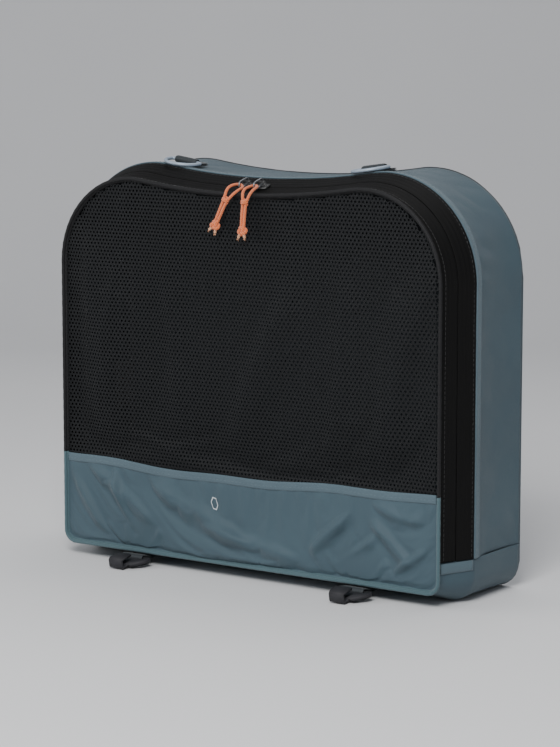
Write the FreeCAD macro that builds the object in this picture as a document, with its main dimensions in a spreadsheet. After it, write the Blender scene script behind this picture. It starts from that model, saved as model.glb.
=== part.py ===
import FreeCAD, Part
import math
import os

import Sketcher
from FreeCAD import Placement, Rotation, Vector

# A packing cube for a cabin case: a soft box of thin cloth that stands on its
# bottom gusset, with a zipped front of mesh and cloth. Front is -Y, up is +Z,
# and the origin is the middle of the flat base. Lengths are in millimetres.

SIZES = {
    "width": 330,              # over the side gussets
    "middle_height": 272,      # top gusset at the middle of its sag
    "sag_radius": 555,         # of the sagging top, whose centre is above it
    "corner_radius": 70,       # upper corners
    "foot_radius": 18,         # lower corners
    "back_face": 45,           # outside of the back panel, behind the middle
    "gusset_front": 15,        # front seam of the gusset, before the middle
    "shoulder_angle": 22,      # the zip slopes inwards by this much
    "shoulder_length": 29,     # both zip tapes, from seam to seam
    "zip_end_height": 30,      # the zip stops here, and the front folds here
    "fold_clearance": 0.3,     # lid pieces start this far above the fold
    "band_top": 74,            # top of the cloth band, foot of the mesh
    "cloth": 0.9,              # shell of cloth with its lining and seams
    "tape": 0.8,
    "coil_middle": 15,         # along the shoulder, from the gusset seam
    "coil_gap": 1.2,
    "coil_width": 2.6,
    "coil_height": 1.3,
    "piping_radius": 1.4,
    "piping_set_out": 1.15,    # piping's middle, outside the front panel's edge
    "hem_width": 6,
    "hem_thickness": 0.6,
    "binding": 2.4,
    "slider_offset": 6,        # of each slider's middle, when they meet
    "slider_length": 9.6,
    "slider_half_width": 4.2,
    "plate": 1.1,
    "plate_clearance": 0.35,
    "crown_bar_height": 4.6,   # above the outside of the tape
    "bail_wire": 1.2,
    "bail_top_radius": 1.9,
    "bail_foot_radius": 2.6,
    "bail_reach": 6.2,
    "cord_diameter": 2.0,
    "knot_radius": 3.2,
    "tail_length": 3.6,
    "collar_radius": 2.7,
    "collar_height": 4.2,
    "ring_wire": 2.4,
    "ring_half_width": 12.4,
    "ring_side": 4,
    "ring_pivot_forward": 2,   # ring bar, before the middle plane
    "ring_pivot_rise": 3.0,    # ring bar, above the gusset
    "ring_corner": 2.2,
    "ring_tilt": 3,            # the ring lies forward, this much down
    "ring_place": 78,          # along the top from the middle
    "webbing": 1.1,
    "webbing_width": 18,
    "hook_bar_radius": 1.3,
    "hook_place": 92,          # along the front from the middle
    "hook_pivot_forward": 47.2,
    "hook_pivot_height": 5.2,
    "hook_tilt": 10,           # the hook hangs down to the ground by this
    "hook_reach": 20.5,        # from its bar to its front
    "hook_plate": 2.4,
    "hook_mouth": 3.4,
    "hook_wall": 2,
    "notch_half_length": 12.4,
    "notch_above": 20,         # its cutter starts this far over the middle
    "notch_height": 50,
    "notch_clearance": 0.9,
    "binding_set_back": 1,     # the zip seam's binding, behind the seam
    "label_width": 22,
    "label_height": 34,
    "label_thickness": 0.4,
    "label_foot": 95,
    "zip_tab_margin": 1.5,     # from each edge of the shoulder
    "zip_tab_foot": 22.5,
    "zip_tab_height": 7,
    "seam_height": 5.5,        # folded edge of the band
    "seam_margin": 1.2,
    "mark_left": 28,           # the mark's left edge, left of the middle
    "mark_foot": 45,
    "mark_width": 9,
    "mark_height": 11,
    "mark_thickness": 0.3,
    "slider_taper": 0.9,       # the narrow end is this much narrower each side
    "slider_chamfer_length": 1.6,
    "slider_chamfer_width": 1.4,
    "post_front": 3.2,         # from the wide end
    "post_back": 0.8,
    "post_half_width": 0.3,
    "crown_half_length": 3.3,
    "crown_wall": 1,
    "crown_roof": 0.5,         # over and under the bail's place
    "crown_chamfer_length": 0.8,
    "crown_chamfer_height": 0.7,
    "crown_width": 1.8,
    "tail_lean": 16,
    "tail_share": 0.45,        # of the cord's diameter, as the tails' radius
    "tail_place": 1.5,
    "tail_bite": 0.2,          # into the knot
    "knot_drop": 1,            # the knot's middle, below the cord's ends
    "tab_reach": 11,           # of the ring tabs' seam, behind the middle
    "tab_lift": 0.1,
    "hook_tab_back": 31,
    "hook_tab_rise": 0.88,     # of the webbing's top, over the bar's middle
    "hook_bar_length": 22,
    "hook_bar_share": 0.92,
    "lip_width": 11,
    "lip_root": 12.5,
    "lip_reach": 9.4,
    "lip_nose": 8.6,
    "lip_nose_rise": 0.9,
    "lip_chamfer": 1.4,
}

# Half of the hook's plate, round from the mouth of its bar: right and forward.
HOOK_OUTLINE = [(10.4, 3.6), (10.4, -1), (14.2, -1), (15, 1), (14.4, 6), (8.5, 13.5)]

# The two cord ends, the collar, the open loop and the turn through the bail,
# from the bail's tip: to the right, to the back and up, in millimetres.
PULL_ROUTE = [
    (-1.05, -10.8, -27.5),
    (-1.15, -10.7, -18.0),
    (-1.25, -10.2, -9.5),
    (-3.7, -8.0, -1.6),
    (-2.5, 1.9, 0.8),
    (2.5, 1.9, 0.8),
    (3.7, -8.0, -1.6),
    (1.25, -10.2, -9.5),
    (1.15, -10.7, -18.0),
    (1.05, -10.8, -27.5),
]
PULL_LEANS = {"left": -25.0, "right": -4.5}   # degrees from upright, right is positive
ARC_SHARE = 0.45                              # of the shorter run, used by each bend

ANGLE = "(sizes.shoulder_angle * 1 deg)"
HALF = "(sizes.width / 2)"
INSET = f"(sizes.shoulder_length * sin({ANGLE}))"
FRONT = f"(sizes.gusset_front + sizes.shoulder_length * cos({ANGLE}))"
LID_FOOT = "(sizes.zip_end_height + sizes.fold_clearance)"
FOOT_TOP = "(sizes.zip_end_height - sizes.fold_clearance)"
PIPING_INSET = f"({INSET} - sizes.piping_set_out)"
PIPING_FRONT = f"({FRONT} + sizes.cloth + sizes.piping_set_out)"

document = FreeCAD.newDocument("packing_cube")
sheet = document.addObject("Spreadsheet::Sheet", "sizes")
for row, (alias, number) in enumerate(SIZES.items(), start=1):
    sheet.set(f"A{row}", alias)
    sheet.set(f"B{row}", str(number))
    sheet.setAlias(f"B{row}", alias)
document.recompute()

pieces = []


def size(alias):
    """The number in the sheet's cell of that name."""
    return float(getattr(sheet, alias))


def value(expression):
    """The number that an expression on the sheet gives."""
    result = sheet.evalExpression(expression)
    return float(getattr(result, "Value", result))


def plane(body, role):
    return next(item for item in body.Origin.OriginFeatures if item.Role == role)


def new_body(name):
    body = document.addObject("PartDesign::Body", name)
    body.Label = name
    pieces.append(body)
    return body


def new_sketch(body, name, role, offset="0", facing_down=False):
    """An empty sketch on one of the body's planes, or offset from it."""
    sketch = body.newObject("Sketcher::SketchObject", f"{body.Name}_{name}")
    sketch.AttachmentSupport = (plane(body, role), [""])
    sketch.MapMode = "FlatFace"
    if facing_down:
        sketch.AttachmentOffset = Placement(Vector(), Rotation(Vector(1, 0, 0), 180))
    sketch.setExpression("AttachmentOffset.Base.z", offset)
    return sketch


def bind(sketch, kind, *arguments, expression):
    """Add a dimension whose value comes from the sheet."""
    number = value(expression)
    index = sketch.addConstraint(Sketcher.Constraint(kind, *arguments, number))
    sketch.setExpression(f"Constraints[{index}]", expression)


def pin(sketch, geometry, point, across, up):
    """Hold a point of the sketch at two expressions from its origin."""
    bind(sketch, "DistanceX", -1, 1, geometry, point, expression=across)
    bind(sketch, "DistanceY", -1, 1, geometry, point, expression=up)


def polygon(sketch, corners):
    """A closed outline through corners, each an expression across and one up."""
    first = sketch.GeometryCount
    points = [Vector(value(across), value(up), 0) for across, up in corners]
    count = len(points)
    turns = sum(
        point.x * points[index - 1].y - point.y * points[index - 1].x
        for index, point in enumerate(points)
    )
    if turns > 0:
        points.reverse()
        corners = corners[::-1]
    for index, point in enumerate(points):
        line = Part.LineSegment(point, points[(index + 1) % count])
        sketch.addGeometry(line, False)
    for index, (across, up) in enumerate(corners):
        follower = first + (index + 1) % count
        joined = Sketcher.Constraint("Coincident", first + index, 2, follower, 1)
        sketch.addConstraint(joined)
        pin(sketch, first + index, 1, across, up)


def circle(sketch, across, up, radius):
    centre = Vector(value(across), value(up), 0)
    index = sketch.addGeometry(Part.Circle(centre, Vector(0, 0, 1), value(radius)), False)
    bind(sketch, "Radius", index, expression=radius)
    pin(sketch, index, 3, across, up)


def arc(centre, radius, start, end):
    return Part.ArcOfCircle(Part.Circle(centre, Vector(0, 0, 1), radius), start, end)


def add_rim(sketch, inset, start):
    """The sides and the sagging top, set in from the gusset's outside.

    It runs up the left side from the height start, over both corners and down
    again. The numbers of its five stretches come back.
    """
    edge = size("width") / 2 - value(inset)
    corner = size("corner_radius") - value(inset)
    sag = size("sag_radius") + value(inset)
    sag_centre = size("middle_height") + size("sag_radius")
    side = edge - corner
    corner_height = sag_centre - math.sqrt((corner + sag) ** 2 - side**2)
    meet = math.atan2(sag_centre - corner_height, -side)
    foot = value(start)
    first = sketch.GeometryCount
    sketch.addGeometry(
        [
            Part.LineSegment(Vector(-edge, foot, 0), Vector(-edge, corner_height, 0)),
            arc(Vector(-side, corner_height, 0), corner, math.pi - meet, math.pi),
            arc(Vector(0, sag_centre, 0), sag, -meet, meet - math.pi),
            arc(Vector(side, corner_height, 0), corner, 0, meet),
            Part.LineSegment(Vector(edge, corner_height, 0), Vector(edge, foot, 0)),
        ],
        False,
    )
    left, left_corner, top, right_corner, right = range(first, first + 5)
    for joined in (
        (left, 2, left_corner, 2),
        (left_corner, 1, top, 1),
        (top, 2, right_corner, 2),
        (right_corner, 1, right, 1),
    ):
        sketch.addConstraint(Sketcher.Constraint("Tangent", *joined))
    sketch.addConstraint(Sketcher.Constraint("Vertical", left))
    sketch.addConstraint(Sketcher.Constraint("Vertical", right))
    sketch.addConstraint(Sketcher.Constraint("Equal", left_corner, right_corner))
    sketch.addConstraint(Sketcher.Constraint("PointOnObject", top, 3, -2))
    bind(sketch, "Radius", left_corner, expression=f"sizes.corner_radius - {inset}")
    bind(sketch, "Radius", top, expression=f"sizes.sag_radius + {inset}")
    centre_height = "sizes.middle_height + sizes.sag_radius"
    bind(sketch, "DistanceY", -1, 1, top, 3, expression=centre_height)
    bind(sketch, "DistanceX", left, 1, -1, 1, expression=f"{HALF} - {inset}")
    bind(sketch, "DistanceX", -1, 1, right, 2, expression=f"{HALF} - {inset}")
    return left, left_corner, top, right_corner, right


def add_foot(sketch, inset):
    """The lower corners and the bottom edge, set in like the rim."""
    edge = size("width") / 2 - value(inset)
    radius = size("foot_radius") - value(inset)
    low = value(inset)
    side = edge - radius
    first = sketch.GeometryCount
    centre_height = low + radius
    sketch.addGeometry(
        [
            arc(Vector(-side, centre_height, 0), radius, math.pi, 1.5 * math.pi),
            Part.LineSegment(Vector(-side, low, 0), Vector(side, low, 0)),
            arc(Vector(side, centre_height, 0), radius, 1.5 * math.pi, 2 * math.pi),
        ],
        False,
    )
    left_corner, bottom, right_corner = range(first, first + 3)
    sketch.addConstraint(Sketcher.Constraint("Tangent", left_corner, 2, bottom, 1))
    sketch.addConstraint(Sketcher.Constraint("Tangent", bottom, 2, right_corner, 1))
    sketch.addConstraint(Sketcher.Constraint("Equal", left_corner, right_corner))
    bind(sketch, "Radius", left_corner, expression=f"sizes.foot_radius - {inset}")
    bind(sketch, "DistanceY", -1, 1, bottom, 1, expression=inset)
    return left_corner, bottom, right_corner


def open_rim(body, start):
    sketch = new_sketch(body, "path", "XZ_Plane")
    left, _, _, _, right = add_rim(sketch, "0", start)
    bind(sketch, "DistanceY", -1, 1, left, 1, expression=start)
    bind(sketch, "DistanceY", -1, 1, right, 2, expression=start)
    return sketch


def open_foot(body, start):
    """The path round the bottom, from the height start on the left side."""
    sketch = new_sketch(body, "path", "XZ_Plane")
    left_corner, _, right_corner = add_foot(sketch, "0")
    edge = size("width") / 2
    high = value(start)
    low = size("foot_radius")
    first = sketch.GeometryCount
    sketch.addGeometry(
        [
            Part.LineSegment(Vector(-edge, high, 0), Vector(-edge, low, 0)),
            Part.LineSegment(Vector(edge, low, 0), Vector(edge, high, 0)),
        ],
        False,
    )
    left, right = first, first + 1
    sketch.addConstraint(Sketcher.Constraint("Tangent", left, 2, left_corner, 1))
    sketch.addConstraint(Sketcher.Constraint("Tangent", right_corner, 2, right, 1))
    sketch.addConstraint(Sketcher.Constraint("Vertical", left))
    sketch.addConstraint(Sketcher.Constraint("Vertical", right))
    pin(sketch, left, 1, f"-{HALF}", start)
    pin(sketch, right, 2, HALF, start)
    return sketch


def closed_outline(sketch, inset):
    """Sides, top and rounded bottom as one closed outline."""
    left, _, _, _, right = add_rim(sketch, inset, "sizes.foot_radius")
    left_corner, _, right_corner = add_foot(sketch, inset)
    sketch.addConstraint(Sketcher.Constraint("Tangent", left_corner, 1, left, 1))
    sketch.addConstraint(Sketcher.Constraint("Tangent", right_corner, 2, right, 2))


def pad(body, sketch, length, midplane=False):
    document.recompute()
    feature = body.newObject("PartDesign::Pad", f"{sketch.Name}_pad")
    feature.Profile = sketch
    feature.setExpression("Length", length)
    if midplane:
        feature.SideType = "Symmetric"
    document.recompute()
    return feature


def pocket(body, sketch, length, midplane=False):
    """Cut a sketch out, and make sure that something was cut."""
    document.recompute()
    before = body.Shape.Volume
    feature = body.newObject("PartDesign::Pocket", f"{sketch.Name}_cut")
    feature.Profile = sketch
    feature.setExpression("Length", length)
    if midplane:
        feature.SideType = "Symmetric"
    document.recompute()
    if body.Shape.Volume > before - 0.01:
        raise RuntimeError(f"{body.Label}: the pocket {sketch.Name} cuts nothing")
    return feature


def sweep(body, profile, path):
    document.recompute()
    feature = body.newObject("PartDesign::AdditivePipe", f"{profile.Name}_pipe")
    feature.Profile = profile
    count = len(path.Shape.Edges)
    feature.Spine = (path, [f"Edge{number}" for number in range(1, count + 1)])
    document.recompute()
    if body.Shape.Volume <= 0:
        raise RuntimeError(f"{body.Label}: the sweep {feature.Name} is inside out")
    return feature


def along(distance, depth):
    """A point of the left shoulder's section, as two expressions.

    distance runs from the gusset seam towards the front panel, and depth goes
    inwards from the outside of the tape.
    """
    across = f"-{HALF} + ({distance}) * sin({ANGLE}) + ({depth}) * cos({ANGLE})"
    up = f"-sizes.gusset_front - ({distance}) * cos({ANGLE}) + ({depth}) * sin({ANGLE})"
    return across, up


def strip(name, start, corners):
    """A strip of constant section that follows the rim, up from start."""
    body = new_body(name)
    path = open_rim(body, start)
    profile = new_sketch(body, "section", "XY_Plane", start)
    polygon(profile, corners)
    sweep(body, profile, path)
    return body


def foot_strip(name, start, corners):
    """The same round the foot, down from start: its section faces down."""
    body = new_body(name)
    path = open_foot(body, start)
    profile = new_sketch(body, "section", "XY_Plane", start, facing_down=True)
    polygon(profile, [(across, f"-({up})") for across, up in corners])
    sweep(body, profile, path)
    return body


def box(name, length, depth, height, placement):
    """A rectangular piece, from its three sizes as expressions."""
    item = document.addObject("Part::Box", name)
    item.Label = name
    item.setExpression("Length", length)
    item.setExpression("Width", depth)
    item.setExpression("Height", height)
    item.Placement = placement
    pieces.append(item)
    return item


# ---------------------------------------------------------------- the shell


def make_back_panel():
    body = new_body("back_panel")
    sketch = new_sketch(body, "outline", "XZ_Plane", "-sizes.back_face")
    closed_outline(sketch, "0")
    pad(body, sketch, "sizes.cloth")


def make_back_binding():
    """The tape that binds the back seam's raw edges, inside."""
    body = new_body("back_binding")
    offset = "-sizes.back_face + sizes.cloth"
    sketch = new_sketch(body, "ring", "XZ_Plane", offset)
    closed_outline(sketch, "sizes.cloth")
    closed_outline(sketch, "(sizes.cloth + sizes.binding)")
    pad(body, sketch, "sizes.binding")


def make_gussets():
    inner_back = "sizes.back_face - sizes.cloth"
    strip(
        "side_gusset",
        "sizes.zip_end_height",
        [
            (f"-{HALF}", "-sizes.gusset_front"),
            (f"-{HALF} + sizes.cloth", "-sizes.gusset_front"),
            (f"-{HALF} + sizes.cloth", inner_back),
            (f"-{HALF}", inner_back),
        ],
    )
    knee = f"-sizes.gusset_front + sizes.cloth * tan({ANGLE} / 2)"
    foot_strip(
        "bottom_gusset",
        "sizes.zip_end_height",
        [
            along("sizes.shoulder_length", "0"),
            along("sizes.shoulder_length", "sizes.cloth"),
            (f"-{HALF} + sizes.cloth", knee),
            (f"-{HALF} + sizes.cloth", inner_back),
            (f"-{HALF}", inner_back),
            (f"-{HALF}", "-sizes.gusset_front"),
        ],
    )
    strip(
        "gusset_hem",
        "sizes.zip_end_height",
        [
            (f"-{HALF}", "-sizes.gusset_front"),
            (f"-{HALF}", "-sizes.gusset_front + sizes.hem_width"),
            (f"-{HALF} - sizes.hem_thickness", "-sizes.gusset_front + sizes.hem_width"),
            (f"-{HALF} - sizes.hem_thickness", "-sizes.gusset_front"),
        ],
    )
    strip(
        "zip_seam_binding",
        "sizes.zip_end_height",
        [
            (f"-{HALF} + sizes.cloth", "-sizes.gusset_front + sizes.binding_set_back"),
            (f"-{HALF} + sizes.cloth + sizes.hem_thickness", "-sizes.gusset_front + sizes.binding_set_back"),
            (
                f"-{HALF} + sizes.cloth + sizes.hem_thickness",
                "-sizes.gusset_front + sizes.binding_set_back + sizes.hem_width",
            ),
            (f"-{HALF} + sizes.cloth", "-sizes.gusset_front + sizes.binding_set_back + sizes.hem_width"),
        ],
    )


def make_care_label():
    """A blank label sewn into the left side's back seam."""
    place = Vector(
        -size("width") / 2 + size("cloth"),
        size("back_face") - size("cloth") - size("binding") - size("label_width"),
        size("label_foot"),
    )
    box(
        "care_label",
        "sizes.label_thickness",
        "sizes.label_width",
        "sizes.label_height",
        Placement(place, Rotation()),
    )


# ---------------------------------------------------------------- the zip


def coil_corners(near, far):
    return [
        along(near, "sizes.tape"),
        along(near, "(sizes.tape + sizes.coil_height)"),
        along(far, "(sizes.tape + sizes.coil_height)"),
        along(far, "sizes.tape"),
    ]


def notch(body):
    """Clear the space that the two meeting sliders fill at rest."""
    top = "sizes.middle_height + sizes.notch_above"
    cutter = new_sketch(body, "notch", "XY_Plane", top)
    reach = "(sizes.coil_middle - sizes.slider_half_width - sizes.notch_clearance)"
    near = f"-sizes.gusset_front - {reach} * cos({ANGLE})"
    half = "sizes.notch_half_length"
    corners = [
        (f"-{half}", f"-{FRONT}"),
        (half, f"-{FRONT}"),
        (half, near),
        (f"-{half}", near),
    ]
    polygon(cutter, corners)
    pocket(body, cutter, "sizes.notch_height")


def make_zip():
    """Both tapes with their coils; the outer one belongs to the bag."""
    gap = "sizes.coil_gap / 2"
    outer_edge = f"(sizes.coil_middle - {gap})"
    lid_edge = f"(sizes.coil_middle + {gap})"
    mitre = (f"-{HALF} + sizes.tape / cos({ANGLE})", "-sizes.gusset_front")
    outer_tape = strip(
        "outer_zip_tape",
        "sizes.zip_end_height",
        [along("0", "0"), mitre, along(outer_edge, "sizes.tape"), along(outer_edge, "0")],
    )
    notch(outer_tape)
    near = f"({outer_edge} - sizes.coil_width)"
    outer_coil = strip(
        "outer_zip_coil", "sizes.zip_end_height", coil_corners(near, outer_edge)
    )
    notch(outer_coil)
    far = "sizes.shoulder_length"
    strip(
        "lid_zip_tape",
        LID_FOOT,
        [
            along(lid_edge, "0"),
            along(lid_edge, "sizes.tape"),
            along(far, "sizes.tape"),
            along(far, "0"),
        ],
    )
    strip("lid_zip_coil", LID_FOOT, coil_corners(lid_edge, f"({lid_edge} + sizes.coil_width)"))


def make_zip_ends():
    """Cloth tabs over the ends of the tapes, on the bottom gusset's shoulders."""
    angle = size("shoulder_angle")
    slope = math.radians(angle)
    start = size("zip_tab_margin")
    foot = size("zip_tab_foot")
    half = size("width") / 2
    left = Vector(
        -half + start * math.sin(slope) - size("cloth") * math.cos(slope),
        -size("gusset_front") - start * math.cos(slope) - size("cloth") * math.sin(slope),
        foot,
    )
    turn = Rotation(Vector(0, 0, 1), angle - 90)
    length = "sizes.shoulder_length - 2 * sizes.zip_tab_margin"
    height = "sizes.zip_tab_height"
    box("zip_end_left", length, "sizes.cloth", height, Placement(left, turn))
    right = Vector(
        half - start * math.sin(slope),
        -size("gusset_front") - start * math.cos(slope),
        foot,
    )
    turn = Rotation(Vector(0, 0, 1), -angle - 90)
    box("zip_end_right", length, "sizes.cloth", height, Placement(right, turn))


# ---------------------------------------------------------------- the front


def make_front():
    mesh = new_body("lid_mesh")
    sketch = new_sketch(mesh, "outline", "XZ_Plane", FRONT)
    left, _, _, _, right = add_rim(sketch, INSET, "sizes.band_top")
    edge = value(f"{HALF} - {INSET}")
    foot = size("band_top")
    line = Part.LineSegment(Vector(-edge, foot, 0), Vector(edge, foot, 0))
    bottom = sketch.addGeometry(line, False)
    sketch.addConstraint(Sketcher.Constraint("Coincident", bottom, 1, left, 1))
    sketch.addConstraint(Sketcher.Constraint("Coincident", bottom, 2, right, 2))
    sketch.addConstraint(Sketcher.Constraint("Horizontal", bottom))
    bind(sketch, "DistanceY", -1, 1, bottom, 1, expression="sizes.band_top")
    pad(mesh, sketch, "sizes.cloth")

    band = new_body("lid_band")
    sketch = new_sketch(band, "outline", "XZ_Plane", FRONT)
    side = f"({HALF} - {INSET})"
    corners = [
        (f"-{side}", LID_FOOT),
        (side, LID_FOOT),
        (side, "sizes.band_top"),
        (f"-{side}", "sizes.band_top"),
    ]
    polygon(sketch, corners)
    pad(band, sketch, "sizes.cloth")

    foot_band = new_body("foot_band")
    sketch = new_sketch(foot_band, "outline", "XZ_Plane", FRONT)
    left_corner, _, right_corner = add_foot(sketch, INSET)
    top = value(FOOT_TOP)
    low = size("foot_radius")
    first = sketch.GeometryCount
    sketch.addGeometry(
        [
            Part.LineSegment(Vector(-edge, top, 0), Vector(-edge, low, 0)),
            Part.LineSegment(Vector(edge, low, 0), Vector(edge, top, 0)),
            Part.LineSegment(Vector(edge, top, 0), Vector(-edge, top, 0)),
        ],
        False,
    )
    left, right, lid = first, first + 1, first + 2
    sketch.addConstraint(Sketcher.Constraint("Tangent", left, 2, left_corner, 1))
    sketch.addConstraint(Sketcher.Constraint("Tangent", right_corner, 2, right, 1))
    sketch.addConstraint(Sketcher.Constraint("Vertical", left))
    sketch.addConstraint(Sketcher.Constraint("Vertical", right))
    sketch.addConstraint(Sketcher.Constraint("Coincident", right, 2, lid, 1))
    sketch.addConstraint(Sketcher.Constraint("Coincident", lid, 2, left, 1))
    pin(sketch, left, 1, f"-{side}", FOOT_TOP)
    bind(sketch, "DistanceX", -1, 1, right, 2, expression=side)
    pad(foot_band, sketch, "sizes.cloth")


def make_piping():
    """Round piping along the front edge: over the mesh, the band and the foot."""
    across = f"-{HALF} + {PIPING_INSET}"
    mesh = new_body("mesh_piping")
    path = open_rim(mesh, "sizes.band_top")
    profile = new_sketch(mesh, "section", "XY_Plane", "sizes.band_top")
    circle(profile, across, f"-{PIPING_FRONT}", "sizes.piping_radius")
    sweep(mesh, profile, path)
    foot = new_body("foot_piping")
    path = open_foot(foot, FOOT_TOP)
    profile = new_sketch(foot, "section", "XY_Plane", FOOT_TOP, facing_down=True)
    circle(profile, across, PIPING_FRONT, "sizes.piping_radius")
    sweep(foot, profile, path)
    for name, side in (("band_piping_left", -1), ("band_piping_right", 1)):
        item = document.addObject("Part::Cylinder", name)
        item.Label = name
        item.setExpression("Radius", "sizes.piping_radius")
        item.setExpression("Height", f"sizes.band_top - {LID_FOOT}")
        across = side * (size("width") / 2 - value(PIPING_INSET))
        place = Vector(across, -value(PIPING_FRONT), value(LID_FOOT))
        item.Placement = Placement(place, Rotation())
        pieces.append(item)


def make_band_trim():
    """The folded edge along the seam of mesh and band, and a small woven mark."""
    edge = value(f"{HALF} - {INSET}")
    front = -value(FRONT) - size("cloth")
    seam = Vector(
        -edge + size("seam_margin"),
        front - size("hem_thickness"),
        size("band_top") - size("seam_height"),
    )
    length = f"2 * ({HALF} - {INSET} - sizes.seam_margin)"
    height = "sizes.seam_height"
    box("band_seam", length, "sizes.hem_thickness", height, Placement(seam, Rotation()))
    mark = Vector(-size("mark_left"), front - size("mark_thickness"), size("mark_foot"))
    box(
        "plain_mark",
        "sizes.mark_width",
        "sizes.mark_thickness",
        "sizes.mark_height",
        Placement(mark, Rotation()),
    )


# ---------------------------------------------------------------- zip pulls


def on_top(across):
    """Carries a piece from the middle of the top, along the sag, by across."""
    angle = math.degrees(math.asin(across / size("sag_radius")))
    centre = Vector(0, 0, size("middle_height") + size("sag_radius"))
    return Placement(Vector(0, 0, 0), Rotation(Vector(0, 1, 0), -angle), centre)


def on_tape():
    """Slider frame: on the coil's middle, -Y down the slope and +Z outwards."""
    slope = math.radians(size("shoulder_angle"))
    distance = size("coil_middle")
    place = Vector(
        0,
        -size("gusset_front") - distance * math.cos(slope),
        size("middle_height") - distance * math.sin(slope),
    )
    return Placement(place, Rotation(Vector(1, 0, 0), size("shoulder_angle")))


def make_slider(side, nose):
    """One slider: two plates, the post between them and the crown on top.

    nose is 1 where the wide end points to the right and -1 to the left.
    """
    body = new_body(f"slider_{side}")
    half = "sizes.slider_length / 2"
    wide = "sizes.slider_half_width"
    narrow = "(sizes.slider_half_width - sizes.slider_taper)"
    outline = [
        (f"{-nose} * {half}", f"-{narrow}"),
        (f"{nose} * ({half} - sizes.slider_chamfer_length)", f"-{wide}"),
        (f"{nose} * {half}", f"-{wide} + sizes.slider_chamfer_width"),
        (f"{nose} * {half}", f"{wide} - sizes.slider_chamfer_width"),
        (f"{nose} * ({half} - sizes.slider_chamfer_length)", wide),
        (f"{-nose} * {half}", narrow),
    ]
    low = "(-sizes.tape - sizes.coil_height - sizes.plate_clearance - sizes.plate)"
    for name, height in (("lower", low), ("upper", "sizes.plate_clearance")):
        sketch = new_sketch(body, name, "XY_Plane", height)
        polygon(sketch, outline)
        pad(body, sketch, "sizes.plate")
    post = new_sketch(body, "post", "XY_Plane", f"{low} + sizes.plate / 2")
    front = f"{nose} * ({half} - sizes.post_front)"
    back = f"{nose} * ({half} - sizes.post_back)"
    corners = [
        (front, "-sizes.post_half_width"),
        (back, "-sizes.post_half_width"),
        (back, "sizes.post_half_width"),
        (front, "sizes.post_half_width"),
    ]
    polygon(post, corners)
    pad(body, post, f"sizes.plate_clearance - {low}")
    crown = new_sketch(body, "crown", "XZ_Plane")
    foot = "(sizes.plate_clearance + sizes.plate / 2)"
    bar = "sizes.crown_bar_height"
    outer = "sizes.crown_half_length"
    inner = "(sizes.crown_half_length - sizes.crown_wall)"
    flat = "(sizes.crown_half_length - sizes.crown_chamfer_length)"
    roof = f"{bar} + sizes.crown_roof"
    shoulder = f"{roof} - sizes.crown_chamfer_height"
    ceiling = f"{bar} - sizes.crown_roof"
    crown_outline = [
        (f"-{outer}", foot),
        (f"-{outer}", shoulder),
        (f"-{flat}", roof),
        (flat, roof),
        (outer, shoulder),
        (outer, foot),
        (inner, foot),
        (inner, ceiling),
        (f"-{inner}", ceiling),
        (f"-{inner}", foot),
    ]
    polygon(crown, crown_outline)
    pad(body, crown, "sizes.crown_width", midplane=True)
    return body


def make_bail(side):
    """The pear-shaped wire loop that hangs in the slider's crown."""
    body = new_body(f"bail_{side}")
    path = new_sketch(body, "path", "YZ_Plane")
    reach = size("bail_reach")
    small = size("bail_top_radius")
    large = size("bail_foot_radius")
    height = size("crown_bar_height")
    lean = math.asin((large - small) / reach)
    turn = math.pi / 2 - lean
    top = Vector(0, height, 0)
    foot = Vector(-reach, height, 0)
    up = Vector(math.cos(turn), math.sin(turn), 0)
    down = Vector(math.cos(turn), -math.sin(turn), 0)
    path.addGeometry(
        [
            arc(top, small, 0, turn),
            Part.LineSegment(top + up * small, foot + up * large),
            arc(foot, large, turn, 2 * math.pi - turn),
            Part.LineSegment(foot + down * large, top + down * small),
            arc(top, small, 2 * math.pi - turn, 2 * math.pi),
        ],
        False,
    )
    for joined in ((0, 2, 1, 1), (1, 2, 2, 1), (2, 2, 3, 1), (3, 2, 4, 1)):
        path.addConstraint(Sketcher.Constraint("Tangent", *joined))
    path.addConstraint(Sketcher.Constraint("Coincident", 4, 2, 0, 1))
    path.addConstraint(Sketcher.Constraint("Coincident", 4, 3, 0, 3))
    pin(path, 0, 3, "0", "sizes.crown_bar_height")
    pin(path, 2, 3, "-sizes.bail_reach", "sizes.crown_bar_height")
    bind(path, "Radius", 0, expression="sizes.bail_top_radius")
    bind(path, "Radius", 2, expression="sizes.bail_foot_radius")
    bind(path, "DistanceY", -1, 1, 0, 1, expression="sizes.crown_bar_height")
    profile = new_sketch(body, "wire", "XY_Plane", "sizes.crown_bar_height")
    circle(profile, "0", "sizes.bail_top_radius", "sizes.bail_wire / 2")
    sweep(body, profile, path)
    return body


def rounded_wire(points):
    """Straight runs joined by tangent arcs, with the radius of each arc."""
    edges = []
    radii = []
    start = points[0]
    for before, corner, after in zip(points, points[1:], points[2:]):
        arriving = (corner - before).normalize()
        leaving = (after - corner).normalize()
        half_turn = arriving.getAngle(leaving) / 2
        set_back = ARC_SHARE * min((corner - before).Length, (after - corner).Length)
        radius = set_back / math.tan(half_turn)
        first = corner - arriving * set_back
        last = corner + leaving * set_back
        inwards = (leaving - arriving).normalize()
        middle = corner + inwards * (radius / math.cos(half_turn) - radius)
        edges.append(Part.LineSegment(start, first).toShape())
        edges.append(Part.Arc(first, middle, last).toShape())
        radii.append(radius)
        start = last
    edges.append(Part.LineSegment(start, points[-1]).toShape())
    return Part.Wire(edges), radii


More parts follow.
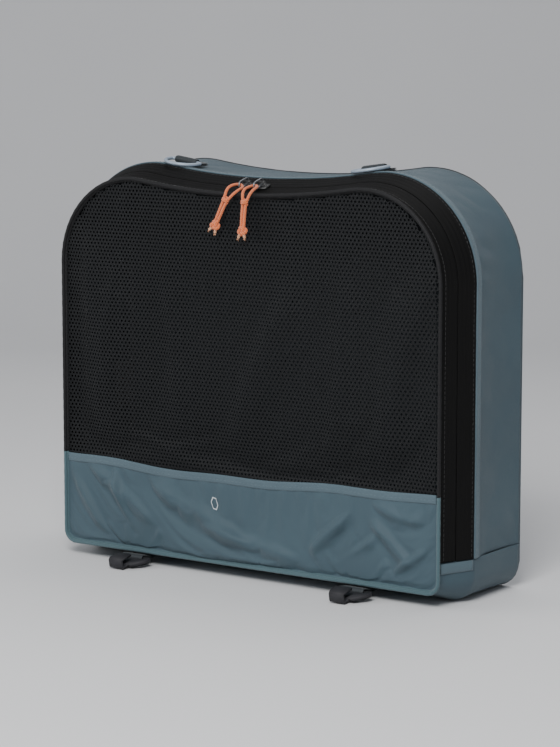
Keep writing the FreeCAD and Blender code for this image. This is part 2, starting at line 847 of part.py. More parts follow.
def make_pull_loop(side):
    """The doubled cord, as one tube from end to end through the bail."""
    points = [Vector(*point) for point in PULL_ROUTE]
    wire, radii = rounded_wire(points)
    print(f"pull cord radii {[round(radius, 1) for radius in radii]}")
    radius = size("cord_diameter") / 2
    direction = points[1] - points[0]
    section = Part.Wire(Part.makeCircle(radius, points[0], direction))
    tube = wire.makePipeShell([section], True, True)
    expected = math.pi * radius**2 * wire.Length
    print(f"pull cord length {wire.Length:.1f}, volume {tube.Volume:.1f} of {expected:.1f}")
    item = document.addObject("Part::Feature", f"pull_cord_{side}")
    item.Shape = tube
    item.Label = f"pull_cord_{side}"
    pieces.append(item)
    return item


def make_knot(side):
    """The stopper knot that holds both ends."""
    _, y, z = PULL_ROUTE[0]
    knot = document.addObject("Part::Sphere", f"pull_knot_{side}")
    knot.Label = f"pull_knot_{side}"
    knot.setExpression("Radius", "sizes.knot_radius")
    knot.Placement = Placement(Vector(0, y, z - size("knot_drop")), Rotation())
    pieces.append(knot)
    return knot


def make_tails(side):
    """The two short ends that stand out below the knot."""
    _, y, z = PULL_ROUTE[0]
    tails = []
    for name, sign in (("first", 1), ("second", -1)):
        tail = document.addObject("Part::Cylinder", f"{name}_tail_{side}")
        tail.setExpression("Radius", "sizes.cord_diameter * sizes.tail_share")
        tail.setExpression("Height", "sizes.tail_length")
        turn = Rotation(Vector(0, 1, 0), 180 - sign * size("tail_lean"))
        drop = size("knot_drop") + size("knot_radius") - size("tail_bite")
        root = Vector(-sign * size("tail_place"), y, z - drop)
        tail.Placement = Placement(root, turn)
        tails.append(tail)
    pair = document.addObject("Part::MultiFuse", f"pull_tails_{side}")
    pair.Shapes = tails
    pair.Label = f"pull_tails_{side}"
    pieces.append(pair)
    return pair


def make_collar(side):
    """The turn of cord that draws both strands together under the bail."""
    _, y, z = PULL_ROUTE[2]
    item = document.addObject("Part::Cylinder", f"pull_collar_{side}")
    item.Label = f"pull_collar_{side}"
    item.setExpression("Radius", "sizes.collar_radius")
    item.setExpression("Height", "sizes.collar_height")
    item.Placement = Placement(Vector(0, y, z - size("collar_height") / 2), Rotation())
    pieces.append(item)
    return item


def make_zip_pulls():
    tape = on_tape()
    tip_reach = size("bail_reach") + size("bail_foot_radius")
    tip = tape.multVec(Vector(0, -tip_reach, size("crown_bar_height")))
    for side, sign in (("left", -1), ("right", 1)):
        carried = on_top(sign * size("slider_offset"))
        for item in (make_slider(side, -sign), make_bail(side)):
            item.Placement = carried * tape
        lean = Rotation(Vector(0, 1, 0), -PULL_LEANS[side])
        hung = carried * Placement(tip, lean)
        makers = (make_pull_loop, make_collar, make_knot, make_tails)
        for item in [maker(side) for maker in makers]:
            item.Placement = hung * item.Placement
        document.recompute()
        pivot = (carried * tape).multVec(Vector(0, 0, size("crown_bar_height")))
        print(f"{side}: bail pivot {pivot}, bail tip {carried.multVec(tip)}")


# ---------------------------------------------------------------- rings, hooks


def make_loop_tab(name, strip_corners, across, up, bar_radius):
    """A webbing tab: a strip that ends in a loop round a bar along X."""
    body = new_body(name)
    strip_sketch = new_sketch(body, "strip", "YZ_Plane")
    polygon(strip_sketch, strip_corners)
    pad(body, strip_sketch, "sizes.webbing_width", midplane=True)
    inner = f"({bar_radius} + sizes.plate_clearance)"
    disc = new_sketch(body, "loop", "YZ_Plane")
    circle(disc, across, up, f"{inner} + sizes.webbing")
    pad(body, disc, "sizes.webbing_width", midplane=True)
    hole = new_sketch(body, "bar", "YZ_Plane")
    circle(hole, across, up, inner)
    pocket(body, hole, "sizes.webbing_width + 2", midplane=True)
    return body


def make_ring(side):
    """A wire D-ring; its straight bar lies on X and it reaches forward."""
    body = new_body(f"d_ring_{side}")
    path = new_sketch(body, "path", "XY_Plane")
    wide = size("ring_half_width")
    corner = size("ring_corner")
    side_end = -size("ring_side")
    quarter = math.pi / 2
    path.addGeometry(
        [
            Part.LineSegment(Vector(corner - wide, 0, 0), Vector(wide - corner, 0, 0)),
            arc(Vector(wide - corner, -corner, 0), corner, 0, quarter),
            Part.LineSegment(Vector(wide, -corner, 0), Vector(wide, side_end, 0)),
            arc(Vector(0, side_end, 0), wide, math.pi, 2 * math.pi),
            Part.LineSegment(Vector(-wide, side_end, 0), Vector(-wide, -corner, 0)),
            arc(Vector(corner - wide, -corner, 0), corner, quarter, math.pi),
        ],
        False,
    )
    for joined in (
        (0, 2, 1, 2),
        (1, 1, 2, 1),
        (2, 2, 3, 2),
        (3, 1, 4, 1),
        (4, 2, 5, 2),
    ):
        path.addConstraint(Sketcher.Constraint("Tangent", *joined))
    path.addConstraint(Sketcher.Constraint("Coincident", 5, 1, 0, 1))
    path.addConstraint(Sketcher.Constraint("Horizontal", 0))
    path.addConstraint(Sketcher.Constraint("Vertical", 2))
    path.addConstraint(Sketcher.Constraint("Equal", 1, 5))
    pin(path, 3, 3, "0", "-sizes.ring_side")
    bind(path, "Radius", 3, expression="sizes.ring_half_width")
    bind(path, "Radius", 1, expression="sizes.ring_corner")
    pin(path, 0, 1, "sizes.ring_corner - sizes.ring_half_width", "0")
    offset = "sizes.ring_corner - sizes.ring_half_width"
    profile = new_sketch(body, "wire", "YZ_Plane", offset)
    circle(profile, "0", "0", "sizes.ring_wire / 2")
    sweep(body, profile, path)
    return body


def make_rings():
    forward = "sizes.ring_pivot_forward"
    rise = "sizes.ring_pivot_rise"
    layers = "2 * sizes.webbing"
    strip_corners = [
        (f"-{forward}", "sizes.tab_lift"),
        ("sizes.tab_reach", "sizes.tab_lift"),
        ("sizes.tab_reach", layers),
        (f"-{forward}", layers),
    ]
    top = Placement(Vector(0, 0, size("middle_height")), Rotation())
    pivot = Vector(0, -size("ring_pivot_forward"), size("ring_pivot_rise"))
    tilt = Rotation(Vector(1, 0, 0), size("ring_tilt"))
    for side, sign in (("left", -1), ("right", 1)):
        carried = on_top(sign * size("ring_place")) * top
        name = f"ring_tab_{side}"
        tab = make_loop_tab(name, strip_corners, f"-{forward}", rise, "sizes.ring_wire / 2")
        tab.Placement = carried
        ring = make_ring(side)
        ring.Placement = carried * Placement(pivot, tilt)
        place = carried.multVec(pivot)
        bar = carried.Rotation.multVec(Vector(1, 0, 0))
        print(f"{side}: ring pivot {place}, bar {bar}")


def make_hook(side):
    """A plastic hook: two arms on a bar, a tapered plate and a turned-up lip."""
    body = new_body(f"hook_{side}")
    plate = "sizes.hook_plate"
    outline = new_sketch(body, "plate", "XY_Plane", f"-{plate} / 2")
    right = [(str(across), str(-forward)) for across, forward in HOOK_OUTLINE]
    left = [(str(-across), str(-forward)) for across, forward in reversed(HOOK_OUTLINE)]
    polygon(outline, right + left)
    pad(body, outline, plate)
    bar = new_sketch(body, "bar", "YZ_Plane")
    circle(bar, "0", "0", "sizes.hook_bar_radius * sizes.hook_bar_share")
    pad(body, bar, "sizes.hook_bar_length", midplane=True)
    lip = new_sketch(body, "lip", "YZ_Plane")
    low = f"-{plate} / 2"
    floor = f"{plate} / 2"
    roof = f"({plate} / 2 + sizes.hook_mouth)"
    top = f"({roof} + sizes.hook_wall)"
    front = "-sizes.hook_reach"
    inner = "(sizes.hook_wall - sizes.hook_reach)"
    cut = "sizes.lip_chamfer"
    lip_corners = [
        ("-sizes.lip_root", low),
        (f"{front} + {cut}", low),
        (front, f"{low} + {cut}"),
        (front, f"{top} - {cut}"),
        (f"{front} + {cut}", top),
        ("-sizes.lip_reach", top),
        ("-sizes.lip_nose", f"{roof} + sizes.lip_nose_rise"),
        ("-sizes.lip_reach", roof),
        (inner, roof),
        (inner, floor),
        ("-sizes.lip_root", floor),
    ]
    polygon(lip, lip_corners)
    pad(body, lip, "sizes.lip_width", midplane=True)
    return body


def make_hooks():
    forward = "sizes.hook_pivot_forward"
    height = "sizes.hook_pivot_height"
    strip_corners = [
        (f"-{forward}", f"{height} - sizes.webbing"),
        ("-sizes.hook_tab_back", f"{height} - sizes.webbing"),
        ("-sizes.hook_tab_back", f"{height} + sizes.hook_tab_rise"),
        (f"-{forward}", f"{height} + sizes.hook_tab_rise"),
    ]
    tilt = Rotation(Vector(1, 0, 0), size("hook_tilt"))
    for side, sign in (("left", -1), ("right", 1)):
        across = sign * size("hook_place")
        name = f"hook_tab_{side}"
        radius = "sizes.hook_bar_radius"
        tab = make_loop_tab(name, strip_corners, f"-{forward}", height, radius)
        tab.Placement = Placement(Vector(across, 0, 0), Rotation())
        pivot = Vector(across, -size("hook_pivot_forward"), size("hook_pivot_height"))
        make_hook(side).Placement = Placement(pivot, tilt)


def check_and_write():
    document.recompute()
    for item in document.Objects:
        if "Invalid" in item.State or "Error" in item.State:
            raise RuntimeError(f"{item.Label} has failed: {item.State}")
    os.makedirs("parts", exist_ok=True)
    for item in pieces:
        shape = item.Shape
        if shape.isNull() or not shape.isValid() or shape.Volume <= 0:
            raise RuntimeError(f"{item.Label} has no valid solid")
        shape.exportStep(f"parts/{item.Label}.step")
        print(f"{item.Label}: {len(shape.Solids)} solid, {shape.Volume:.0f} mm3")


make_back_panel()
make_back_binding()
make_gussets()
make_care_label()
make_zip()
make_zip_ends()
make_front()
make_piping()
make_band_trim()
make_zip_pulls()
make_rings()
make_hooks()
check_and_write()
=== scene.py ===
"""A packing cube in cloth, mesh and tape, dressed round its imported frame."""

import logging
import math
from dataclasses import dataclass, field
from enum import Enum, StrEnum
from typing import Callable, Sequence

import bmesh
import bpy
import numpy as np
from mathutils import Matrix, Vector


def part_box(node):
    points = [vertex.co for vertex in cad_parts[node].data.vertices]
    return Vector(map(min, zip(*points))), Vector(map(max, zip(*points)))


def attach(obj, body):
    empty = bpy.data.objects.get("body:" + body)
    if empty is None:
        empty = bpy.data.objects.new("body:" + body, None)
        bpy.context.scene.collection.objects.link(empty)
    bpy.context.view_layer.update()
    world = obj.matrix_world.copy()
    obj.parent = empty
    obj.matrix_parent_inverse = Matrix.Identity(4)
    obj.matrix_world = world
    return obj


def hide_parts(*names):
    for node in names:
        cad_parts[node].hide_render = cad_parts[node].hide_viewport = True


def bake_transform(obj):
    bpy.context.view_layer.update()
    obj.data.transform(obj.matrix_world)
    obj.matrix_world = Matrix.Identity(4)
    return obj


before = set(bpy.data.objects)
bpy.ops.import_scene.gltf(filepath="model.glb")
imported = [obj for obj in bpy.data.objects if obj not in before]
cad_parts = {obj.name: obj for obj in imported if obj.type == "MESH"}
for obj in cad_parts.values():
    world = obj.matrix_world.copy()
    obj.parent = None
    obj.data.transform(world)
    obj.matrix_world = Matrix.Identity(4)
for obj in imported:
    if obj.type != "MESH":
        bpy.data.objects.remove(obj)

LOG = logging.getLogger("packing_cube")
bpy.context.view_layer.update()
MM = 0.001
WELD = 1e-7
Array = np.ndarray


class Body(StrEnum):
    """The two bodies that the cloth rides on."""

    BAG = "bag"
    LID = "lid"


class Side(Enum):
    """Left and right, with the sign of X."""

    LEFT = -1
    RIGHT = 1

    @property
    def word(self) -> str:
        """The side's name as node names spell it."""
        return self.name.lower()


# ------------------------------------------------------------------ node helpers


class Shader:
    """A material's node tree with short calls for the nodes that finishes use."""

    def __init__(self, name: str) -> None:
        """Start an empty material with one Principled shader."""
        self.material = bpy.data.materials.new(name)
        self.material.use_nodes = True
        self.tree = self.material.node_tree
        self.tree.nodes.clear()
        self.output = self.tree.nodes.new("ShaderNodeOutputMaterial")
        self.base = self.tree.nodes.new("ShaderNodeBsdfPrincipled")
        self.tree.links.new(self.base.outputs[0], self.output.inputs[0])

    def node(self, kind: str, **settings: object) -> bpy.types.Node:
        """Add a node and set its properties."""
        node = self.tree.nodes.new(kind)
        for key, setting in settings.items():
            setattr(node, key, setting)
        return node

    def link(self, source: bpy.types.NodeSocket, target: bpy.types.NodeSocket) -> None:
        """Join two sockets."""
        self.tree.links.new(source, target)

    def group(self, tree: bpy.types.NodeTree, **values: float) -> bpy.types.Node:
        """Place a node group and give its inputs their values."""
        node = self.node("ShaderNodeGroup", node_tree=tree)
        for key, number in values.items():
            node.inputs[key.replace("_", " ").capitalize()].default_value = number
        return node

    def set(self, **values: float) -> None:
        """Set the Principled shader's own sockets, named in lower case."""
        sockets = {socket.name.lower().replace(" ", "_"): socket for socket in self.base.inputs}
        for key, number in values.items():
            sockets[key].default_value = number

    def mixed(
        self, low: Sequence[float], high: Sequence[float], factor: bpy.types.NodeSocket
    ) -> bpy.types.NodeSocket:
        """Go from one colour to another by a mask."""
        mix = self.node("ShaderNodeMix", data_type="RGBA")
        mix.inputs["A"].default_value = (*low, 1.0)
        mix.inputs["B"].default_value = (*high, 1.0)
        self.link(factor, mix.inputs["Factor"])
        return mix.outputs["Result"]

    def bump(
        self, height: bpy.types.NodeSocket, distance: float, strength: float = 1.0
    ) -> bpy.types.Node:
        """Add a Bump node, its distance in millimetres, as the shader's normal."""
        bump = self.node("ShaderNodeBump")
        bump.inputs["Distance"].default_value = distance * MM
        bump.inputs["Strength"].default_value = strength
        self.link(height, bump.inputs["Height"])
        self.link(bump.outputs[0], self.base.inputs["Normal"])
        return bump

    def cloth_map(self) -> bpy.types.NodeSocket:
        """The piece's own map, in millimetres along and across the cloth."""
        return self.node("ShaderNodeUVMap", uv_map="cloth").outputs[0]

    def place(self) -> bpy.types.NodeSocket:
        """Object coordinates, in metres."""
        return self.node("ShaderNodeTexCoord").outputs["Object"]


class GroupMaker:
    """Builds one shared shader node group with named inputs and outputs."""

    def __init__(self, name: str) -> None:
        """Start the group with its input and output nodes."""
        self.tree = bpy.data.node_groups.new(name, "ShaderNodeTree")
        self.enter = self.tree.nodes.new("NodeGroupInput")
        self.leave = self.tree.nodes.new("NodeGroupOutput")

    def take(self, name: str, kind: str = "NodeSocketFloat", default: float = 0.0) -> None:
        """Add an input socket."""
        socket = self.tree.interface.new_socket(name, in_out="INPUT", socket_type=kind)
        if kind == "NodeSocketFloat":
            socket.default_value = default

    def give(self, name: str, source: bpy.types.NodeSocket, kind: str = "NodeSocketFloat") -> None:
        """Add an output socket and feed it."""
        self.tree.interface.new_socket(name, in_out="OUTPUT", socket_type=kind)
        self.tree.links.new(source, self.leave.inputs[name])

    def math(self, operation: str, *sources: object) -> bpy.types.NodeSocket:
        """Add a Math node fed by sockets or numbers."""
        node = self.tree.nodes.new("ShaderNodeMath")
        node.operation = operation
        for socket, source in zip(node.inputs, sources):
            if isinstance(source, (int, float)):
                socket.default_value = source
            else:
                self.tree.links.new(source, socket)
        return node.outputs[0]

    def noise(
        self, vector: bpy.types.NodeSocket, scale: float, detail: float = 3.0
    ) -> bpy.types.NodeSocket:
        """Add a Noise texture on a vector."""
        node = self.tree.nodes.new("ShaderNodeTexNoise")
        node.inputs["Scale"].default_value = scale
        node.inputs["Detail"].default_value = detail
        self.tree.links.new(vector, node.inputs["Vector"])
        return node.outputs[0]

    def axes(self, vector: bpy.types.NodeSocket) -> bpy.types.Node:
        """Split a vector into its three numbers."""
        node = self.tree.nodes.new("ShaderNodeSeparateXYZ")
        self.tree.links.new(vector, node.inputs[0])
        return node


def build_weave_group() -> bpy.types.NodeTree:
    """Plain weave: threads along and across that pass over each other.

    Returns:
        The group; its Height goes from 0 between threads to 1 on top of them.
    """
    maker = GroupMaker("plain_weave")
    maker.take("Vector", "NodeSocketVector")
    maker.take("Pitch", default=0.5)
    maker.take("Slant", default=0.0)
    split = maker.axes(maker.enter.outputs["Vector"])
    across = maker.math("DIVIDE", split.outputs[0], maker.enter.outputs["Pitch"])
    along = maker.math("DIVIDE", split.outputs[1], maker.enter.outputs["Pitch"])
    across = maker.math("ADD", across, maker.math("MULTIPLY", along, maker.enter.outputs["Slant"]))
    warp = maker.math("ABSOLUTE", maker.math("SINE", maker.math("MULTIPLY", across, math.pi)))
    weft = maker.math("ABSOLUTE", maker.math("SINE", maker.math("MULTIPLY", along, math.pi)))
    turn = maker.math(
        "PINGPONG",
        maker.math("ADD", maker.math("FLOOR", across), maker.math("FLOOR", along)),
        1.0,
    )
    over = maker.math("MULTIPLY", warp, turn)
    under = maker.math("MULTIPLY", weft, maker.math("SUBTRACT", 1.0, turn))
    maker.give("Height", maker.math("ADD", over, under))
    return maker.tree


def build_crumple_group() -> bpy.types.NodeTree:
    """Fine creases and uneven tone of handled cloth.

    Returns:
        The group, with Height for creases and Tone for colour changes.
    """
    maker = GroupMaker("cloth_crumple")
    maker.take("Vector", "NodeSocketVector")
    maker.take("Scale", default=60.0)
    node = maker.tree.nodes.new("ShaderNodeTexNoise")
    node.noise_type = "RIDGED_MULTIFRACTAL"
    node.inputs["Detail"].default_value = 3.0
    maker.tree.links.new(maker.enter.outputs["Vector"], node.inputs["Vector"])
    maker.tree.links.new(maker.enter.outputs["Scale"], node.inputs["Scale"])
    soft = maker.noise(maker.enter.outputs["Vector"], 14.0)
    maker.give("Height", maker.math("MULTIPLY", node.outputs[0], 0.5))
    maker.give("Tone", soft)
    return maker.tree


def build_rib_group() -> bpy.types.NodeTree:
    """Parallel ribs with a fine slanted twill between them.

    Returns:
        The group; its Height carries the ribs.
    """
    maker = GroupMaker("ribbed_twill")
    maker.take("Vector", "NodeSocketVector")
    maker.take("Rib", default=1.0)
    maker.take("Twill", default=0.45)
    split = maker.axes(maker.enter.outputs["Vector"])
    rib = maker.math("DIVIDE", split.outputs[1], maker.enter.outputs["Rib"])
    rib = maker.math("ABSOLUTE", maker.math("SINE", maker.math("MULTIPLY", rib, math.pi)))
    slant = maker.math("ADD", split.outputs[0], split.outputs[1])
    slant = maker.math("DIVIDE", slant, maker.enter.outputs["Twill"])
    slant = maker.math("ABSOLUTE", maker.math("SINE", maker.math("MULTIPLY", slant, math.pi)))
    total = maker.math("ADD", maker.math("MULTIPLY", rib, 0.6), maker.math("MULTIPLY", slant, 0.4))
    maker.give("Height", total)
    return maker.tree


def build_wear_group() -> bpy.types.NodeTree:
    """Grain and small scratches of handled metal or plastic.

    Returns:
        The group, with Height for grain and Mask for rubbed spots.
    """
    maker = GroupMaker("handled_surface")
    maker.take("Vector", "NodeSocketVector")
    grain = maker.noise(maker.enter.outputs["Vector"], 2500.0, 2.0)
    spots = maker.noise(maker.enter.outputs["Vector"], 260.0, 4.0)
    rubbed = maker.math("SMOOTH_MIN", maker.math("MULTIPLY", spots, 1.4), 1.0, 0.2)
    maker.give("Height", grain)
    maker.give("Mask", rubbed)
    return maker.tree


# ------------------------------------------------------------------ finishes


@dataclass(frozen=True)
class ClothFinish:
    """Woven cloth with creases, an uneven tone, painted shade between its threads and a soft sheen."""

    name: str
    slot: str
    colour: tuple[float, float, float]
    light: tuple[float, float, float]
    roughness: float = 0.55
    pitch: float = 0.55
    weave_depth: float = 0.08
    crumple_scale: float = 55.0
    crumple_depth: float = 0.25
    sheen: float = 0.25
    ribs: float = 0.0
    gloss: float = 0.4

    def make(self, groups: "Groups") -> bpy.types.Material:
        """Build the material from the shared groups.

        Args:
            groups: The shared node groups.

        Returns:
            The finished material.
        """
        shader = Shader(self.name)
        uv = shader.cloth_map()
        if self.ribs:
            weave = shader.group(groups.ribs, rib=self.ribs, twill=self.pitch)
        else:
            weave = shader.group(groups.weave, pitch=self.pitch)
        crumple = shader.group(groups.crumple, scale=self.crumple_scale)
        shader.link(uv, weave.inputs["Vector"])
        shader.link(shader.place(), crumple.inputs["Vector"])
        tone = shader.mixed(self.colour, self.light, crumple.outputs["Tone"])
        # The weave's height darkens the colour between threads: painted shade in the weave's valleys.
        thread = shader.node("ShaderNodeMix", data_type="RGBA", blend_type="MULTIPLY")
        thread.inputs["Factor"].default_value = 0.35
        shader.link(tone, thread.inputs["A"])
        shader.link(weave.outputs["Height"], thread.inputs["B"])
        shader.link(thread.outputs["Result"], shader.base.inputs["Base Color"])
        creases = shader.bump(crumple.outputs["Height"], self.crumple_depth, 0.7)
        threads = shader.bump(weave.outputs["Height"], self.weave_depth, 0.8)
        shader.link(creases.outputs[0], threads.inputs["Normal"])
        shader.set(
            roughness=self.roughness, sheen_weight=self.sheen, sheen_roughness=0.4,
            specular_ior_level=self.gloss,
        )
        return shader.material


@dataclass(frozen=True)
class HardFinish:
    """Metal or moulded plastic with grain and rubbed spots."""

    name: str
    slot: str
    colour: tuple[float, float, float]
    rubbed: tuple[float, float, float]
    metallic: float
    roughness: float
    grain: float = 0.02
    coat: float = 0.0

    def make(self, groups: "Groups") -> bpy.types.Material:
        """Build the material from the shared groups.

        Args:
            groups: The shared node groups.

        Returns:
            The finished material.
        """
        shader = Shader(self.name)
        wear = shader.group(groups.wear)
        shader.link(shader.place(), wear.inputs["Vector"])
        ramp = shader.node("ShaderNodeMapRange")
        ramp.inputs["From Min"].default_value = 0.62
        ramp.inputs["From Max"].default_value = 0.9
        shader.link(wear.outputs["Mask"], ramp.inputs["Value"])
        tone = shader.mixed(self.colour, self.rubbed, ramp.outputs[0])
        shader.link(tone, shader.base.inputs["Base Color"])
        rough = shader.node("ShaderNodeMapRange")
        rough.inputs["To Min"].default_value = self.roughness * 0.8
        rough.inputs["To Max"].default_value = self.roughness * 1.25
        shader.link(wear.outputs["Mask"], rough.inputs["Value"])
        shader.link(rough.outputs[0], shader.base.inputs["Roughness"])
        shader.bump(wear.outputs["Height"], self.grain)
        shader.set(metallic=self.metallic, coat_weight=self.coat)
        return shader.material


@dataclass(frozen=True)
class BraidFinish:
    """Round cord: a braid of slanted strands both ways."""

    name: str
    slot: str
    colour: tuple[float, float, float]
    shade: tuple[float, float, float]
    pitch: float = 0.9

    def make(self, groups: "Groups") -> bpy.types.Material:
        """Build the material from the shared groups.

        Args:
            groups: The shared node groups.

        Returns:
            The finished material.
        """
        shader = Shader(self.name)
        turn = shader.node("ShaderNodeMapping")
        turn.inputs["Rotation"].default_value = (0.0, 0.0, math.radians(45))
        shader.link(shader.cloth_map(), turn.inputs["Vector"])
        weave = shader.group(groups.weave, pitch=self.pitch)
        shader.link(turn.outputs[0], weave.inputs["Vector"])
        tone = shader.mixed(self.shade, self.colour, weave.outputs["Height"])
        shader.link(tone, shader.base.inputs["Base Color"])
        shader.bump(weave.outputs["Height"], 0.25)
        shader.set(roughness=0.7, sheen_weight=0.4)
        return shader.material


Finish = ClothFinish | HardFinish | BraidFinish


class Groups:
    """The shared shader node groups, each built once."""

    def __init__(self) -> None:
        """Build every group."""
        self.weave = build_weave_group()
        self.crumple = build_crumple_group()
        self.ribs = build_rib_group()
        self.wear = build_wear_group()


class Wardrobe:
    """Makes each finish's material once and dresses pieces in it."""

    def __init__(self) -> None:
        """Start with the shared groups and no material."""
        self.groups = Groups()
        self.made: dict[str, bpy.types.Material] = {}

    def material(self, finish: Finish) -> bpy.types.Material:
        """The finish's material, built at its first use."""
        if finish.name not in self.made:
            self.made[finish.name] = finish.make(self.groups)
        return self.made[finish.name]

    def coat(self, piece: bpy.types.Object, finish: Finish) -> bpy.types.Object:
        """Give a cloth sheet its thickness, its finish and a coated inner side, coloured darker as
        painted shade of the bag's shadowed inside.
        """
        piece.data.materials.append(self.material(finish))
        piece.data.materials.append(self.material(COATING_SHADE))
        add_thickness(piece, CLOTH, shaded_coat=True)
        return applied(piece)

    def dress(self, piece: bpy.types.Object, finish: Finish, body: str, *nodes: str) -> None:
        """Give a piece its material and body, and the nodes it stands for.

        Args:
            piece: The finished piece.
            finish: Its finish.
            body: The body it rides on.
            nodes: The frame nodes that it replaces.
        """
        if not piece.data.materials:
            piece.data.materials.append(self.material(finish))
        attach(piece, body)
        if nodes:
            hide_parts(*nodes)
        LOG.info("%s rides on %s", piece.name, body)


BLUE_CLOTH = ClothFinish(
    "blue_nylon", "blue_cloth", (0.041, 0.077, 0.099), (0.062, 0.11, 0.138), sheen=0.14
)
# Inner side of every cloth sheet, much darker than the outside: painted shade of the bag's shadowed
# inside.
COATING_SHADE = ClothFinish(
    "inner_coating", "blue_cloth", (0.014, 0.02, 0.025), (0.022, 0.03, 0.036),
    roughness=0.65, crumple_depth=0.15, sheen=0.05,
)
# Folded edges in a lighter blue than the cloth: painted highlight along the folds.
HEM_HIGHLIGHT_CLOTH = ClothFinish(
    "folded_nylon", "folded_edge", (0.07, 0.115, 0.142), (0.1, 0.155, 0.186), crumple_depth=0.1
)
# Blue piping cloth, lighter and greener than the band: real blue piping with a painted highlight on its
# round edge.
PIPING_HIGHLIGHT_CLOTH = ClothFinish(
    "blue_piping_cloth", "blue_piping", (0.05, 0.1, 0.12), (0.08, 0.15, 0.17), crumple_depth=0.1
)
DARK_PIPING = ClothFinish(
    "dark_piping_cloth", "black_piping", (0.008, 0.008, 0.009), (0.012, 0.012, 0.013),
    crumple_depth=0.08, sheen=0.03, gloss=0.25,
)
ZIP_TAPE = ClothFinish(
    "zip_tape_twill", "zip_tape", (0.0042, 0.0041, 0.0041), (0.0065, 0.0062, 0.006),
    roughness=0.6, pitch=0.6, weave_depth=0.12, crumple_depth=0.05, sheen=0.0, ribs=1.25,
    gloss=0.12,
)
MESH_YARN = ClothFinish(
    "mesh_yarn", "mesh", (0.0042, 0.0049, 0.0058), (0.0068, 0.0076, 0.0088),
    roughness=0.5, pitch=0.35, weave_depth=0.06, crumple_depth=0.05, sheen=0.02, gloss=0.22,
)
BINDING = ClothFinish(
    "binding_rib", "binding_tape", (0.02, 0.023, 0.026), (0.03, 0.033, 0.036),
    pitch=0.5, crumple_depth=0.05, ribs=0.9,
)
WEBBING = ClothFinish(
    "woven_webbing", "webbing", (0.02, 0.026, 0.03), (0.033, 0.04, 0.045),
    pitch=0.9, weave_depth=0.2, crumple_depth=0.05, ribs=1.8,
)
# Care label coloured near black so that it stays dark inside the bag: painted shade.
LABEL_SHADE = ClothFinish(
    "label_satin", "label_cloth", (0.02, 0.021, 0.022), (0.03, 0.031, 0.032), crumple_depth=0.1, pitch=0.4
)
MARK = ClothFinish(
    "mark_ink", "mark_thread", (0.62, 0.66, 0.69), (0.72, 0.75, 0.78), crumple_depth=0.02, pitch=0.55
)
BLUE_THREAD = ClothFinish(
    "blue_thread", "folded_edge", (0.09, 0.14, 0.17), (0.13, 0.19, 0.22), pitch=0.3, crumple_depth=0.01
)
BLACK_THREAD = ClothFinish(
    "black_thread", "zip_tape", (0.012, 0.012, 0.012), (0.02, 0.02, 0.02), pitch=0.3, crumple_depth=0.01
)
RING_METAL = HardFinish("ring_nickel", "ring_metal", (0.42, 0.5, 0.58), (0.6, 0.66, 0.7), 1.0, 0.28)
SLIDER_METAL = HardFinish(
    "slider_enamel", "slider_metal", (0.014, 0.014, 0.015), (0.12, 0.12, 0.12), 0.6, 0.3, coat=0.3
)
BAIL_METAL = HardFinish("bail_wire", "bail_metal", (0.2, 0.21, 0.22), (0.42, 0.42, 0.42), 1.0, 0.3)
HOOK_PLASTIC = HardFinish(
    "hook_acetal", "black_plastic", (0.012, 0.012, 0.013), (0.02, 0.02, 0.021), 0.0, 0.42, grain=0.05
)
COIL_NYLON = HardFinish(
    "coil_nylon", "zip_coil", (0.011, 0.011, 0.011), (0.02, 0.02, 0.02), 0.0, 0.35, grain=0.01
)
ORANGE_CORD = BraidFinish("orange_braid", "orange_cord", (0.9, 0.215, 0.05), (0.56, 0.09, 0.02))
CORD_TIP = BraidFinish("cord_ends", "orange_cord", (0.9, 0.5, 0.27), (0.8, 0.26, 0.09), pitch=0.4)


# ------------------------------------------------------------------ mesh helpers


def placed(name: str, data: bpy.types.ID) -> bpy.types.Object:
    """A new object in the scene, for a mesh, curve, lamp or camera."""
    piece = bpy.data.objects.new(name, data)
    bpy.context.scene.collection.objects.link(piece)
    return piece


def evaluated_mesh(piece: bpy.types.Object) -> bpy.types.Mesh:
    """A plain mesh of a piece as its modifiers or its curve shape it."""
    graph = bpy.context.evaluated_depsgraph_get()
    return bpy.data.meshes.new_from_object(piece.evaluated_get(graph))


def make_piece(
    name: str, points: Array, faces: Sequence[Sequence[int]], cloth: Array | None = None
) -> bpy.types.Object:
    """Make a smooth mesh piece at the origin, with its cloth map.

    Args:
        name: The piece's name.
        points: Its points, one row each, in metres.
        faces: Its faces, as rows of point numbers.
        cloth: For each point, millimetres along and across the cloth.

    Returns:
        The piece, linked to the scene.
    """
    mesh = bpy.data.meshes.new(name)
    mesh.from_pydata([tuple(point) for point in points], [], [tuple(face) for face in faces])
    if cloth is not None:
        layer = mesh.uv_layers.new(name="cloth")
        loops = np.empty(len(mesh.loops), int)
        mesh.loops.foreach_get("vertex_index", loops)
        layer.data.foreach_set("uv", np.asarray(cloth, float)[loops].ravel())
    mesh.polygons.foreach_set("use_smooth", [True] * len(mesh.polygons))
    mesh.update()
    return placed(name, mesh)


def grid_piece(name: str, points: Array, cloth: Array) -> bpy.types.Object:
    """Make a sheet from a grid of points and their places on the cloth.

    Args:
        name: The piece's name.
        points: Rows and columns of points, in metres.
        cloth: For each point, millimetres along and across the cloth.

    Returns:
        The piece, linked to the scene.
    """
    faces = grid_faces(*points.shape[:2])
    return make_piece(name, points.reshape(-1, 3), faces, cloth.reshape(-1, 2))


